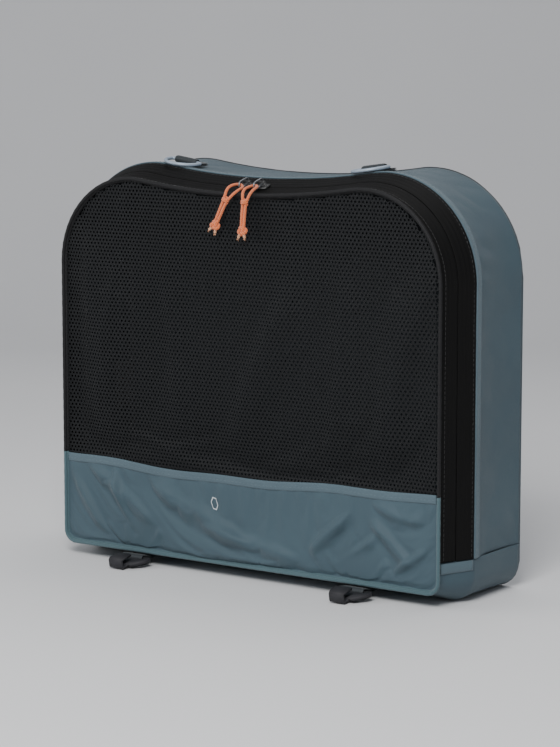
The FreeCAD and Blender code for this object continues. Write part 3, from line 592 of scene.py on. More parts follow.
def map_places(mesh: bpy.types.Mesh, flatten: Callable[[Array], Array]) -> None:
    """Give a mesh a cloth map in millimetres, worked out from its points."""
    places = np.empty(len(mesh.vertices) * 3)
    mesh.vertices.foreach_get("co", places)
    loops = np.empty(len(mesh.loops), int)
    mesh.loops.foreach_get("vertex_index", loops)
    flat = flatten(places.reshape(-1, 3))[loops] / MM
    mesh.uv_layers.new(name="cloth").data.foreach_set("uv", flat.ravel())


def run_lengths(line: Array) -> Array:
    """How far each point of a line lies along it."""
    return np.concatenate([[0], np.cumsum(np.linalg.norm(np.diff(line, axis=0), axis=1))])


def grid_faces(rows: int, columns: int, wrap: bool = False) -> list[tuple[int, ...]]:
    """Quads of a grid whose points go row by row.

    Args:
        rows: How many rows of points.
        columns: How many points in a row.
        wrap: Whether the last column joins the first.

    Returns:
        The faces.
    """
    last = columns if wrap else columns - 1
    return [
        (
            row * columns + column,
            row * columns + (column + 1) % columns,
            (row + 1) * columns + (column + 1) % columns,
            (row + 1) * columns + column,
        )
        for row in range(rows - 1)
        for column in range(last)
    ]


def face_outwards(piece: bpy.types.Object, weld: bool = True) -> None:
    """Turn a closed piece's faces outwards, and weld its doubled points first."""
    mesh = bmesh.new()
    mesh.from_mesh(piece.data)
    if weld:
        bmesh.ops.remove_doubles(mesh, verts=mesh.verts, dist=WELD)
    bmesh.ops.recalc_face_normals(mesh, faces=mesh.faces)
    mesh.to_mesh(piece.data)
    mesh.free()


def add_thickness(
    piece: bpy.types.Object, thickness: float, offset: float = -1.0, shaded_coat: bool = False
) -> None:
    """Give a sheet its thickness, in metres, with a rim.

    Args:
        piece: The sheet.
        thickness: Its thickness.
        offset: -1 where it grows inwards, and 0 where it grows both ways.
        shaded_coat: Whether its inner side takes the piece's second material.
    """
    solid = piece.modifiers.new("thickness", "SOLIDIFY")
    # The second material is the darker inner cloth, painted shade of the bag's inside.
    solid.material_offset = 1 if shaded_coat else 0
    solid.thickness = thickness
    solid.offset = offset
    solid.use_rim = True


def tube(name: str, line: Array, radius: float | Array, sides: int = 12) -> bpy.types.Object:
    """A round tube with closed ends along a line of points.

    Args:
        name: The piece's name.
        line: Its centre line, one point a row, in metres.
        radius: Its radius, or one for each point.
        sides: Points round the tube.

    Returns:
        The piece.
    """
    count, columns = len(line), sides + 1
    radii = np.broadcast_to(radius, (count,))
    tangents = np.gradient(line, axis=0)
    tangents /= np.linalg.norm(tangents, axis=1)[:, None]
    normal = np.cross(tangents[0], (0.31, 0.9, 0.3))
    points = []
    cloth = []
    lengths = run_lengths(line)
    turns = np.linspace(0, 2 * math.pi, columns)
    for place, tangent, size, length in zip(line, tangents, radii, lengths):
        normal = normal - tangent * normal.dot(tangent)
        normal /= np.linalg.norm(normal)
        other = np.cross(tangent, normal)
        for turn in turns:
            points.append(place + size * (math.cos(turn) * normal + math.sin(turn) * other))
            cloth.append((turn * size / MM, length / MM))
    faces = grid_faces(count, columns)
    start, end = len(points), len(points) + 1
    points += [line[0], line[-1]]
    cloth += [(0, 0), (0, lengths[-1] / MM)]
    last = (count - 1) * columns
    faces += [(start, side + 1, side) for side in range(sides)]
    faces += [(end, last + side, last + side + 1) for side in range(sides)]
    piece = make_piece(name, np.array(points), faces, np.array(cloth))
    face_outwards(piece)
    return piece


def joined(name: str, parts: Sequence[bpy.types.Object]) -> bpy.types.Object:
    """Join pieces into one and give it a name."""
    with bpy.context.temp_override(
        active_object=parts[0], object=parts[0], selected_editable_objects=list(parts)
    ):
        bpy.ops.object.join()
    parts[0].name = name
    parts[0].data.name = name
    return parts[0]


def start_tree(
    name: str, socket: str, kind: str
) -> tuple[bpy.types.NodeTree, bpy.types.Node, bpy.types.NodeSocket]:
    """Start a Geometry Nodes tree that ends by realizing and painting its pieces.

    Args:
        name: The tree's name.
        socket: The name of its own input, beside Geometry and Finish.
        kind: That input's socket type.

    Returns:
        The tree, its input node, and the socket that takes the finished pieces.
    """
    tree = bpy.data.node_groups.new(name, "GeometryNodeTree")
    for title, way, form in (
        ("Geometry", "INPUT", "NodeSocketGeometry"),
        (socket, "INPUT", kind),
        ("Finish", "INPUT", "NodeSocketMaterial"),
        ("Geometry", "OUTPUT", "NodeSocketGeometry"),
    ):
        tree.interface.new_socket(title, in_out=way, socket_type=form)
    enter = tree.nodes.new("NodeGroupInput")
    leave = tree.nodes.new("NodeGroupOutput")
    realize = tree.nodes.new("GeometryNodeRealizeInstances")
    colour = tree.nodes.new("GeometryNodeSetMaterial")
    tree.links.new(realize.outputs[0], colour.inputs["Geometry"])
    tree.links.new(enter.outputs["Finish"], colour.inputs["Material"])
    tree.links.new(colour.outputs[0], leave.inputs[0])
    return tree, enter, realize.inputs[0]


def build_bead_tree() -> bpy.types.NodeTree:
    """Geometry Nodes that set one small rounded bead on each point of a piece.

    Each point's "turn" attribute holds the bead's Euler angles. The same tree
    makes stitches and zip teeth.

    Returns:
        The tree, with inputs Size and Finish.
    """
    tree, enter, finished = start_tree("beads_on_points", "Size", "NodeSocketVector")
    points = tree.nodes.new("GeometryNodeMeshToPoints")
    ball = tree.nodes.new("GeometryNodeMeshUVSphere")
    ball.inputs["Segments"].default_value = 6
    ball.inputs["Rings"].default_value = 5
    ball.inputs["Radius"].default_value = 0.5
    smooth = tree.nodes.new("GeometryNodeSetShadeSmooth")
    turn = tree.nodes.new("GeometryNodeInputNamedAttribute")
    turn.data_type = "FLOAT_VECTOR"
    turn.inputs["Name"].default_value = "turn"
    angles = tree.nodes.new("FunctionNodeEulerToRotation")
    place = tree.nodes.new("GeometryNodeInstanceOnPoints")
    for source, target in (
        (enter.outputs["Geometry"], points.inputs["Mesh"]),
        (points.outputs[0], place.inputs["Points"]),
        (ball.outputs["Mesh"], smooth.inputs["Geometry"]),
        (smooth.outputs[0], place.inputs["Instance"]),
        (turn.outputs["Attribute"], angles.inputs[0]),
        (angles.outputs[0], place.inputs["Rotation"]),
        (enter.outputs["Size"], place.inputs["Scale"]),
        (place.outputs[0], finished),
    ):
        tree.links.new(source, target)
    return tree


def build_hole_tree() -> bpy.types.NodeTree:
    """Geometry Nodes that open a hole in the middle of every face.

    Returns:
        The tree, with inputs Open, the hole's width as a share of the face's, and Finish.
    """
    tree, enter, finished = start_tree("open_holes", "Open", "NodeSocketFloat")
    extrude = tree.nodes.new("GeometryNodeExtrudeMesh")
    extrude.inputs["Offset Scale"].default_value = 0.0
    extrude.inputs["Individual"].default_value = True
    scale = tree.nodes.new("GeometryNodeScaleElements")
    remove = tree.nodes.new("GeometryNodeDeleteGeometry")
    remove.domain = "FACE"
    for source, target in (
        (enter.outputs["Geometry"], extrude.inputs["Mesh"]),
        (extrude.outputs["Mesh"], scale.inputs["Geometry"]),
        (extrude.outputs["Top"], scale.inputs["Selection"]),
        (enter.outputs["Open"], scale.inputs["Scale"]),
        (scale.outputs[0], remove.inputs["Geometry"]),
        (extrude.outputs["Top"], remove.inputs["Selection"]),
        (remove.outputs[0], finished),
    ):
        tree.links.new(source, target)
    return tree


def run_tree(
    seed: bpy.types.Object, tree: bpy.types.NodeTree, name: str, **values: object
) -> bpy.types.Object:
    """Evaluate a Geometry Nodes tree on a seed piece and keep the plain mesh.

    Args:
        seed: The piece that the tree starts from; it is removed.
        tree: The Geometry Nodes tree.
        name: The new piece's name.
        values: The tree's inputs by name.

    Returns:
        The finished plain piece.
    """
    modifier = seed.modifiers.new("repeat", "NODES")
    modifier.node_group = tree
    for item in tree.interface.items_tree:
        if item.item_type == "SOCKET" and item.in_out == "INPUT" and item.name in values:
            modifier[item.identifier] = values[item.name]
    mesh = evaluated_mesh(seed)
    mesh.name = name
    piece = placed(name, mesh)
    bpy.data.objects.remove(seed, do_unlink=True)
    return piece


def applied(piece: bpy.types.Object) -> bpy.types.Object:
    """Turn a piece's modifiers into plain mesh."""
    mesh = evaluated_mesh(piece)
    piece.modifiers.clear()
    piece.data = mesh
    return piece


# ------------------------------------------------------------------ the outline

HALF_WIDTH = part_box("back_panel")[1][0]
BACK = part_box("back_panel")[1][1]
SEAM = -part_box("gusset_hem")[0][1]
PANEL_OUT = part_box("foot_band")[0][1]
FOLD_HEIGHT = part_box("gusset_hem")[0][2]
BAND_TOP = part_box("lid_band")[1][2]
TOP_RADIUS = 0.555
CORNER_RADIUS = 0.070
FOOT_RADIUS = 0.018
MIDDLE_HEIGHT = 0.272
CORNER_PLACE = 0.095
SLOPE = math.radians(22)
SHOULDER = 0.029
ZIP_MIDDLE = 0.015
CLOTH = 0.0009
DEPTH = SEAM + BACK - CLOTH
PANEL_INSET = SHOULDER * math.sin(SLOPE)
SAG_CENTRE = MIDDLE_HEIGHT + TOP_RADIUS
CORNER_HEIGHT = SAG_CENTRE - math.sqrt((TOP_RADIUS + CORNER_RADIUS) ** 2 - CORNER_PLACE**2)
PANEL_EDGE = HALF_WIDTH - PANEL_INSET


class Outline:
    """The closed outline of the bag, clockwise from the middle of its foot."""

    STEP = 0.0005

    def __init__(self) -> None:
        """Lay out the runs and arcs as a dense table of points and normals."""
        wide = HALF_WIDTH - FOOT_RADIUS
        lean = math.atan2(SAG_CENTRE - CORNER_HEIGHT, CORNER_PLACE)
        half = []
        half += [((-x, 0.0), (0.0, -1.0)) for x in np.arange(0, wide, self.STEP)]
        half += self.arc((-wide, FOOT_RADIUS), FOOT_RADIUS, -math.pi / 2, -math.pi, 1)
        rise = np.arange(FOOT_RADIUS, CORNER_HEIGHT, self.STEP)
        half += [((-HALF_WIDTH, z), (-1.0, 0.0)) for z in rise]
        corner = (-CORNER_PLACE, CORNER_HEIGHT)
        half += self.arc(corner, CORNER_RADIUS, math.pi, lean, 1)
        half += self.arc((0, SAG_CENTRE), TOP_RADIUS, lean + math.pi, 1.5 * math.pi, -1)
        other = [((-p[0], p[1]), (-n[0], n[1])) for p, n in reversed(half[1:-1])]
        line = half + other + [half[0]]
        self.points = np.array([p for p, _ in line])
        self.normals = np.array([n for _, n in line])
        self.lengths = run_lengths(self.points)
        self.total = float(self.lengths[-1])
        self.rim_start = wide + FOOT_RADIUS * math.pi / 2 + FOLD_HEIGHT - FOOT_RADIUS
        self.rim_stop = self.total - self.rim_start

    def arc(
        self, centre: tuple[float, float], radius: float, start: float, stop: float, sign: int
    ) -> list[tuple[tuple[float, float], tuple[float, float]]]:
        """Points and normals of an arc; sign is -1 where the bag lies outside it."""
        count = max(2, int(abs(stop - start) * radius / self.STEP))
        turns = np.linspace(start, stop, count, endpoint=True)
        return [
            (
                (centre[0] + radius * math.cos(t), centre[1] + radius * math.sin(t)),
                (sign * math.cos(t), sign * math.sin(t)),
            )
            for t in turns
        ]

    def at(self, along: Array, inset: Array) -> Array:
        """Points of the outline moved inwards.

        Args:
            along: Lengths along the outline, in metres.
            inset: How far inwards, in metres.

        Returns:
            X and Z, in two columns.
        """
        along = np.mod(along, self.total)
        place = [np.interp(along, self.lengths, self.points[:, k]) for k in (0, 1)]
        normal = [np.interp(along, self.lengths, self.normals[:, k]) for k in (0, 1)]
        return np.stack([place[0] - inset * normal[0], place[1] - inset * normal[1]], axis=-1)

    def shell(self, along: Array, across: Array, depth: Array) -> Array:
        """Points of the folded shell round the outline.

        Args:
            along: Lengths along the outline, in metres.
            across: From the gusset seam forwards down the shoulder, or
                backwards along the gusset where it is negative.
            depth: Inwards from the shell's outside.

        Returns:
            The points, in rows of X, Y and Z.
        """
        front = across > 0
        sine = np.where(front, math.sin(SLOPE), 0.0)
        cosine = np.where(front, math.cos(SLOPE), 1.0)
        flat = self.at(along, across * sine + depth * cosine)
        y = -SEAM - across * cosine + depth * sine
        return np.stack([flat[..., 0], y, flat[..., 1]], axis=-1)


OUTLINE = Outline()


def seam_height(x: Array) -> Array:
    """Height of the seam of mesh and band, which sags left of the middle."""
    return BAND_TOP - 0.0045 * np.exp(-(((x + 0.03) / 0.09) ** 2)) - 0.0006 * np.sin(x * 70)


def panel_top(x: Array) -> Array:
    """Height of the front panel's upper edge."""
    across = np.abs(x)
    turn = CORNER_PLACE * (TOP_RADIUS + PANEL_INSET) / (TOP_RADIUS + CORNER_RADIUS)
    sag = SAG_CENTRE - np.sqrt((TOP_RADIUS + PANEL_INSET) ** 2 - np.minimum(across, turn) ** 2)
    small = CORNER_RADIUS - PANEL_INSET
    reach = np.clip(across - CORNER_PLACE, 0, small)
    corner = CORNER_HEIGHT + np.sqrt(small**2 - reach**2)
    corner = np.where(across < CORNER_PLACE, CORNER_HEIGHT + small, corner)
    return np.where(across < turn, sag, np.minimum(corner, CORNER_HEIGHT + small))


def soft_noise(seed: int, points: Array, scales: Sequence[float]) -> Array:
    """Smooth seeded unevenness from a few slanted waves.

    Args:
        seed: Chooses the waves.
        points: Two columns of places, in metres.
        scales: Wave lengths, in metres.

    Returns:
        One number for each point, mostly from -1 to 1.
    """
    random = np.random.default_rng(seed)
    total = np.zeros(points.shape[:-1])
    for scale in scales:
        for _ in range(4):
            turn = random.uniform(0, 2 * math.pi)
            wave = 2 * math.pi / (scale * random.uniform(0.8, 1.3))
            phase = points[..., 0] * math.cos(turn) + points[..., 1] * math.sin(turn)
            total += np.sin(phase * wave + random.uniform(0, 6.3)) / 4
    return total / len(scales)


def rim_strip(
    name: str,
    span: tuple[float, float],
    profile: Sequence[tuple[float, float]],
    step: float,
    relief: Callable[[Array, Array], Array] | None = None,
) -> bpy.types.Object:
    """A closed strip of one section that follows the outline.

    Args:
        name: The piece's name.
        span: Where it starts and stops along the outline.
        profile: The closed section, as across and depth in metres.
        step: The distance between stations.
        relief: Added depth at each along and across.

    Returns:
        The piece, with end caps.
    """
    count = int((span[1] - span[0]) / step) + 1
    along = np.linspace(*span, count)[:, None]
    section = np.array(list(profile) + [profile[0]])
    across, depth = section[None, :, 0], section[None, :, 1]
    if relief is not None:
        depth = depth + relief(along, across)
    points = OUTLINE.shell(*np.broadcast_arrays(along, across, depth))
    edge = run_lengths(section)
    cloth = np.stack(np.broadcast_arrays(along / MM, edge[None, :] / MM), axis=-1)
    columns = section.shape[0]
    faces = grid_faces(count, columns)
    faces.append(tuple(range(columns - 1)))
    faces.append(tuple(reversed(range((count - 1) * columns, count * columns - 1))))
    piece = make_piece(name, points.reshape(-1, 3), faces, cloth.reshape(-1, 2))
    face_outwards(piece)
    return piece


def rounded(
    low: float, high: float, top: float, bottom: float, edge: float, ribs: int = 0, rib: float = 0.0
) -> list[tuple[float, float]]:
    """A flat section with rounded edges and raised ribs on its outside.

    Args:
        low: Its first edge, across.
        high: Its last edge, across.
        top: Depth of its outside.
        bottom: Depth of its inside.
        edge: Radius of the edges.
        ribs: How many ribs its outside has.
        rib: Their height.

    Returns:
        The closed section.
    """
    outside = np.linspace(low + edge, high - edge, max(3, ribs * 6 + 1))
    wave = np.sin((outside - low - edge) / max(high - low - 2 * edge, 1e-6) * ribs * math.pi) ** 2
    section = [(low, top + edge), (low + edge * 0.3, top + edge * 0.3)]
    section += [(float(a), float(top - rib * w)) for a, w in zip(outside, wave)]
    section += [(high - edge * 0.3, top + edge * 0.3), (high, top + edge)]
    section += [(high, bottom), (low, bottom)]
    return section


# ------------------------------------------------------------------ sub-assemblies


@dataclass
class Workshop:
    """What every sub-assembly needs: the materials and the shared trees."""

    wardrobe: Wardrobe = field(default_factory=Wardrobe)
    beads: bpy.types.NodeTree = field(default_factory=build_bead_tree)
    holes: bpy.types.NodeTree = field(default_factory=build_hole_tree)

    def bead_row(
        self, name: str, points: Array, outward: Array, size: tuple[float, float, float],
        finish: Finish,
    ) -> bpy.types.Object:
        """Beads that follow a line of points, such as a row of stitches.

        Args:
            name: The new piece's name.
            points: Where each bead lies, in metres.
            outward: The surface's normal at each.
            size: Each bead's length, width and height.
            finish: The beads' finish.

        Returns:
            The finished piece, not yet riding on a body.
        """
        tangents = np.gradient(points, axis=0)
        turns = []
        for tangent, normal in zip(tangents, outward):
            x = Vector(tangent).normalized()
            z = (Vector(normal) - x * Vector(normal).dot(x)).normalized()
            turns += list(Matrix((x, z.cross(x), z)).transposed().to_euler())
        seed = make_piece(name + "_seed", points, [])
        layer = seed.data.attributes.new("turn", "FLOAT_VECTOR", "POINT")
        layer.data.foreach_set("vector", turns)
        material = self.wardrobe.material(finish)
        piece = run_tree(seed, self.beads, name, Size=size, Finish=material)
        if "cloth" not in piece.data.uv_layers:
            map_places(piece.data, lambda places: places[:, (0, 2)])
        return piece

    def rim_beads(
        self, name: str, span: tuple[float, float], across: float, depth: float,
        pitch: float, size: tuple[float, float, float], finish: Finish,
    ) -> bpy.types.Object:
        """A row of beads along the outline, at one place across the shell."""
        along = np.arange(span[0] + pitch / 2, span[1], pitch)
        spread = np.full_like(along, across)
        points = OUTLINE.shell(along, spread, np.full_like(along, depth))
        inner = OUTLINE.shell(along, spread, np.full_like(along, depth + 0.001))
        return self.bead_row(name, points, points - inner, size, finish)


TOP_SLACK = 0.0024
SIDE_SLACK = 0.0030
CREASE_DEPTH = 0.0012
PLEAT_DEPTH = 0.0006
BACK_SLACK = 0.0018
BACK_CREASE = 0.0022
BOTTOM_SWELL = 0.0005
STITCH = (0.0025, 0.00055, 0.00035)
STITCH_PITCH = 0.0032
MID_SIDE = 0.15
HEM_DEPTH = 0.0056
HEM_STITCHES = 0.0044


@dataclass
class Shell:
    """The cloth box: back, gussets, hem, bindings and label."""

    shop: Workshop

    def build(self) -> None:
        """Build every piece of the shell."""
        self.gusset()
        self.bottom()
        self.hem()
        self.back()
        self.bindings()
        self.label()

    def sag(self, along: Array, across: Array, strength: float) -> Array:
        """How far the gusset's cloth sinks or swells between its seams."""
        share = np.clip((-across - HEM_DEPTH) / (DEPTH - HEM_DEPTH), 0, 1)
        hold = np.sin(share * math.pi) ** 0.7
        place = np.stack(np.broadcast_arrays(along, across), axis=-1)
        slow = soft_noise(5, place * (1.0, 0.45), (0.06, 0.035))
        pleat = soft_noise(6, place * (1.0, 0.12), (0.016, 0.01))
        near_seam = np.exp(-((share / 0.3) ** 2)) * np.clip(share / 0.03, 0, 1)
        crease = np.abs(soft_noise(7, place * (1.0, 0.6), (0.034, 0.02)))
        return (
            hold * (strength * (0.55 + 0.75 * slow) + CREASE_DEPTH * (0.4 - crease))
            + near_seam * PLEAT_DEPTH * pleat
        )

    def gusset(self) -> None:
        """The cloth round the sides and top, slack between its seams."""
        along = np.linspace(OUTLINE.rim_start, OUTLINE.rim_stop, 560)[:, None]
        across = -np.linspace(0.0, DEPTH, 30)[None, :]
        top = np.abs(OUTLINE.at(along[:, 0], np.zeros(along.shape[0]))[:, 0]) < 0.1
        strength = np.where(top, TOP_SLACK, SIDE_SLACK)[:, None]
        depth = self.sag(along, across, strength)
        points = OUTLINE.shell(*np.broadcast_arrays(along, across, depth))
        cloth = np.stack(np.broadcast_arrays(along / MM, across / MM), axis=-1)
        piece = grid_piece("gusset_cloth", points, cloth)
        piece.data.flip_normals()
        piece = self.shop.wardrobe.coat(piece, BLUE_CLOTH)
        self.shop.wardrobe.dress(piece, BLUE_CLOTH, Body.BAG, "side_gusset")

    def bottom(self) -> None:
        """The bottom gusset, one cloth that turns up at both ends."""
        start, stop = -OUTLINE.rim_start, OUTLINE.rim_start
        along = np.linspace(start, stop, 260)[:, None] % OUTLINE.total
        across = np.concatenate([np.linspace(SHOULDER, 0, 12), -np.linspace(0, DEPTH, 24)[1:]])
        across = across[None, :]
        place = np.stack(np.broadcast_arrays(along, across), axis=-1)
        rise = BOTTOM_SWELL * (1 + soft_noise(9, place, (0.05, 0.025)))
        near_edge = np.minimum(SHOULDER - across, across + DEPTH)
        edge = np.clip(near_edge / 0.004, 0, 1)
        points = OUTLINE.shell(*np.broadcast_arrays(along, across, rise * edge))
        cloth = np.stack(np.broadcast_arrays(along / MM, across / MM), axis=-1)
        piece = grid_piece("bottom_cloth", points, cloth)
        face_towards(piece, Vector((0, 0, -1)))
        piece = self.shop.wardrobe.coat(piece, BLUE_CLOTH)
        self.shop.wardrobe.dress(piece, BLUE_CLOTH, Body.BAG, "bottom_gusset")

    def hem(self) -> None:
        """The folded front edge of the gusset, lighter as painted highlight, with its topstitching."""

        def pucker(along: Array, across: Array) -> Array:
            """Small hollows where the stitches pull."""
            pull = np.sin(along / STITCH_PITCH * 2 * math.pi)
            row = np.exp(-(((across + HEM_STITCHES) / 0.0012) ** 2))
            return row * (0.00018 + 0.00006 * pull)

        span = (OUTLINE.rim_start, OUTLINE.rim_stop)
        section = [(0.0, 0.0)]
        section += [(-x, -0.0006 * s) for x, s in (
            (0.0001, 0.55), (0.0004, 0.92), (0.0008, 1.0), (0.0018, 1.0), (0.0028, 0.98),
            (0.0036, 0.95), (0.004, 0.95), (0.0044, 0.95), (0.0048, 0.95), (0.0054, 0.9),
            (0.0058, 0.7), (0.006, 0.3),
        )]
        section.append((-0.006, 0.0002))
        piece = rim_strip("gusset_hem_cloth", span, section, 0.0008, pucker)
        self.shop.wardrobe.dress(piece, HEM_HIGHLIGHT_CLOTH, Body.BAG, "gusset_hem")
        row = self.shop.rim_beads(
            "hem_stitches", span, -HEM_STITCHES, -0.00045, STITCH_PITCH, STITCH, BLUE_THREAD
        )
        self.shop.wardrobe.dress(row, BLUE_THREAD, Body.BAG)

    def back(self) -> None:
        """The back panel, slightly slack inside its bound seam."""
        columns, rows = 120, 96
        a = np.linspace(-1, 1, columns)[None, :]
        b = (1 - np.cos(np.linspace(0, math.pi, rows)))[:, None] / 2
        x = a * HALF_WIDTH
        upper = np.interp(-np.abs(x), *self.edge(True))
        lower = np.interp(-np.abs(x), *self.edge(False))
        z = lower + (upper - lower) * b
        x = np.broadcast_to(x, z.shape)
        place = np.stack([x, z], axis=-1)
        hold = (1 - a**4) * np.sin(np.pi * b) ** 0.5
        slow = 1 + soft_noise(11, place, (0.12, 0.07))
        crease = np.abs(soft_noise(12, place * (1.0, 0.5), (0.06, 0.03, 0.018)))
        y = BACK - hold * (BACK_SLACK * slow + BACK_CREASE * (0.5 - crease))
        piece = grid_piece("back_cloth", np.stack([x, y, z], axis=-1), place / MM)
        face_towards(piece, Vector((0, 1, 0)))
        piece = self.shop.wardrobe.coat(piece, BLUE_CLOTH)
        self.shop.wardrobe.dress(piece, BLUE_CLOTH, Body.BAG, "back_panel")

    def edge(self, upper: bool) -> tuple[Array, Array]:
        """X and Z of the outline's left half, above or below its widest run."""
        left = OUTLINE.points[OUTLINE.lengths <= OUTLINE.total / 2]
        part = left[(left[:, 1] >= MID_SIDE) == upper]
        part = part[np.argsort(part[:, 0], kind="stable")]
        wide = np.abs(part[:, 0] + HALF_WIDTH) < 1e-9
        heights = part[wide][:, 1]
        height = heights.max() if upper else heights.min()
        rest = part[~wide]
        return (
            np.concatenate([[-HALF_WIDTH], rest[:, 0]]),
            np.concatenate([[height], rest[:, 1]]),
        )

    def bindings(self) -> None:
        """The tapes that bind the seams inside."""
        span = (0.0, OUTLINE.total)
        section = rounded(-DEPTH + 0.0001, -DEPTH + 0.0024, CLOTH, CLOTH + 0.0024, 0.0005)
        piece = rim_strip("back_binding_tape", span, section, 0.003)
        self.shop.wardrobe.dress(piece, BINDING, Body.BAG, "back_binding")
        span = (OUTLINE.rim_start, OUTLINE.rim_stop)
        section = rounded(-0.007, -0.001, CLOTH, CLOTH + 0.0006, 0.0002)
        piece = rim_strip("zip_binding_tape", span, section, 0.003)
        self.shop.wardrobe.dress(piece, BINDING, Body.BAG, "zip_seam_binding")

    def label(self) -> None:
        """A blank care label, curled a little at its free edge, coloured near black as painted shade."""
        low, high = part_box("care_label")
        rows, columns = 18, 14
        b = np.linspace(0, 1, rows)[:, None]
        a = np.linspace(0, 1, columns)[None, :]
        y = high[1] + (low[1] - high[1]) * a + 0 * b
        z = low[2] + (high[2] - low[2]) * b + 0 * a
        along = OUTLINE.rim_start + z - FOLD_HEIGHT
        sunk = self.sag(along, -SEAM - y, np.full_like(y, SIDE_SLACK))
        curl = 0.0012 * a**2 * (1 + 0.3 * np.sin(b * 5))
        x = -HALF_WIDTH + CLOTH + 0.0004 + sunk + curl
        cloth = np.stack([y, z], axis=-1) / MM
        piece = grid_piece("care_label_cloth", np.stack([x, y, z], axis=-1), cloth)
        add_thickness(piece, 0.0003, 0.0)
        self.shop.wardrobe.dress(applied(piece), LABEL_SHADE, Body.BAG, "care_label")


def face_towards(piece: bpy.types.Object, way: Vector) -> None:
    """Turn an open sheet's faces so that on the whole they look one way."""
    total = Vector((0, 0, 0))
    for polygon in piece.data.polygons:
        total += polygon.normal * polygon.area
    if total.dot(way) < 0:
        piece.data.flip_normals()


TAPE_START = 0.0002
TAPE = (0.0, 0.0008, 0.0004, 4, 0.00013)
COIL_PLACE = 0.0017
TOOTH = (0.00085, 0.0026, 0.0012)
TOOTH_PITCH = 0.00125
TOOTH_DEPTH = 0.00145


@dataclass
class Zip:
    """Both zip tapes with their coils, and the cloth tabs over their ends."""

    shop: Workshop
    middle: float = ZIP_MIDDLE
    slit: float = 0.00025

    def build(self) -> None:
        """Build the tapes, the teeth, the topstitching and the end tabs."""
        span = (OUTLINE.rim_start, OUTLINE.rim_stop)
        lid_span = (span[0] + 0.0003, span[1] - 0.0003)
        section = rounded(TAPE_START, self.middle - self.slit, *TAPE)
        tape = rim_strip("outer_tape_cloth", span, section, 0.0015, self.ripple)
        self.shop.wardrobe.dress(tape, ZIP_TAPE, Body.BAG, "outer_zip_tape")
        section = rounded(self.middle + self.slit, SHOULDER, *TAPE)
        tape = rim_strip("lid_tape_cloth", lid_span, section, 0.0015, self.ripple)
        self.shop.wardrobe.dress(tape, ZIP_TAPE, Body.LID, "lid_zip_tape")
        self.teeth("outer_coil_teeth", span, self.middle - COIL_PLACE, Body.BAG, "outer_zip_coil")
        self.teeth("lid_coil_teeth", lid_span, self.middle + COIL_PLACE, Body.LID, "lid_zip_coil")
        for name, where, part, body in (
            ("outer_tape_stitches", 0.0022, span, Body.BAG),
            ("lid_tape_stitches", SHOULDER - 0.004, lid_span, Body.LID),
        ):
            row = self.shop.rim_beads(
                name, part, where, -0.0001, STITCH_PITCH, STITCH, BLACK_THREAD
            )
            self.shop.wardrobe.dress(row, BLACK_THREAD, body)
        self.ends()

    def ripple(self, along: Array, across: Array) -> Array:
        """The tapes wave a little along their length."""
        place = np.stack(np.broadcast_arrays(along, across), axis=-1)
        return 0.00018 * soft_noise(21, place * (1.0, 0.3), (0.05, 0.02))

    def teeth(
        self, name: str, span: tuple[float, float], across: float, body: Body, node: str
    ) -> None:
        """One side's coil, behind its tape."""
        row = self.shop.rim_beads(
            name, span, across, TOOTH_DEPTH, TOOTH_PITCH, TOOTH, COIL_NYLON
        )
        self.shop.wardrobe.dress(row, COIL_NYLON, body, node)

    def ends(self) -> None:
        """A cloth tab over each end of the zip, in the lighter hem cloth that paints a highlight."""
        for side in Side:
            name = f"zip_end_{side.word}"
            low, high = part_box(name)
            start = OUTLINE.rim_start if side is Side.LEFT else OUTLINE.rim_stop
            way = 1 if side is Side.LEFT else -1
            rows, columns = 12, 28
            along = start + way * np.linspace(low[2] - FOLD_HEIGHT, high[2] - FOLD_HEIGHT, rows)
            across = np.linspace(0.0014, SHOULDER - 0.0014, columns)
            along, across = np.meshgrid(along, across, indexing="ij")
            hump = np.sin(np.linspace(0, math.pi, rows))[:, None] ** 0.5
            depth = -0.0008 * hump - 0.0002
            points = OUTLINE.shell(along, across, np.broadcast_to(depth, along.shape))
            cloth = np.stack([along, across], axis=-1) / MM
            piece = grid_piece(f"{name}_cloth", points, cloth)
            face_towards(piece, Vector((side.value, -0.4, 0)))
            add_thickness(piece, 0.0004)
            self.shop.wardrobe.dress(applied(piece), HEM_HIGHLIGHT_CLOTH, Body.BAG, name)


@dataclass(frozen=True)
class Fold:
    """One crease of the cloth band, as a bent ridge.

    start and end are X and Z in metres; the ridge bows sideways by bow.
    """

    start: tuple[float, float]
    end: tuple[float, float]
    height: float
    width: float
    bow: float = 0.0

    def relief(self, x: Array, z: Array) -> Array:
        """How far the ridge stands out at each place."""
        first, last = np.array(self.start), np.array(self.end)
        run = last - first
        length = float(np.hypot(*run))
        way = run / length
        share = ((x - first[0]) * way[0] + (z - first[1]) * way[1]) / length
        off = -(x - first[0]) * way[1] + (z - first[1]) * way[0]
        off = off - self.bow * np.sin(np.clip(share, 0, 1) * math.pi)
        fade = np.clip(share / 0.25, 0, 1) * np.clip((1 - share) / 0.3, 0, 1)
        fade = fade * fade * (3 - 2 * fade)
        sharp = np.where(off > 0, self.width * 0.55, self.width)
        return self.height * fade * np.exp(-((off / sharp) ** 2))


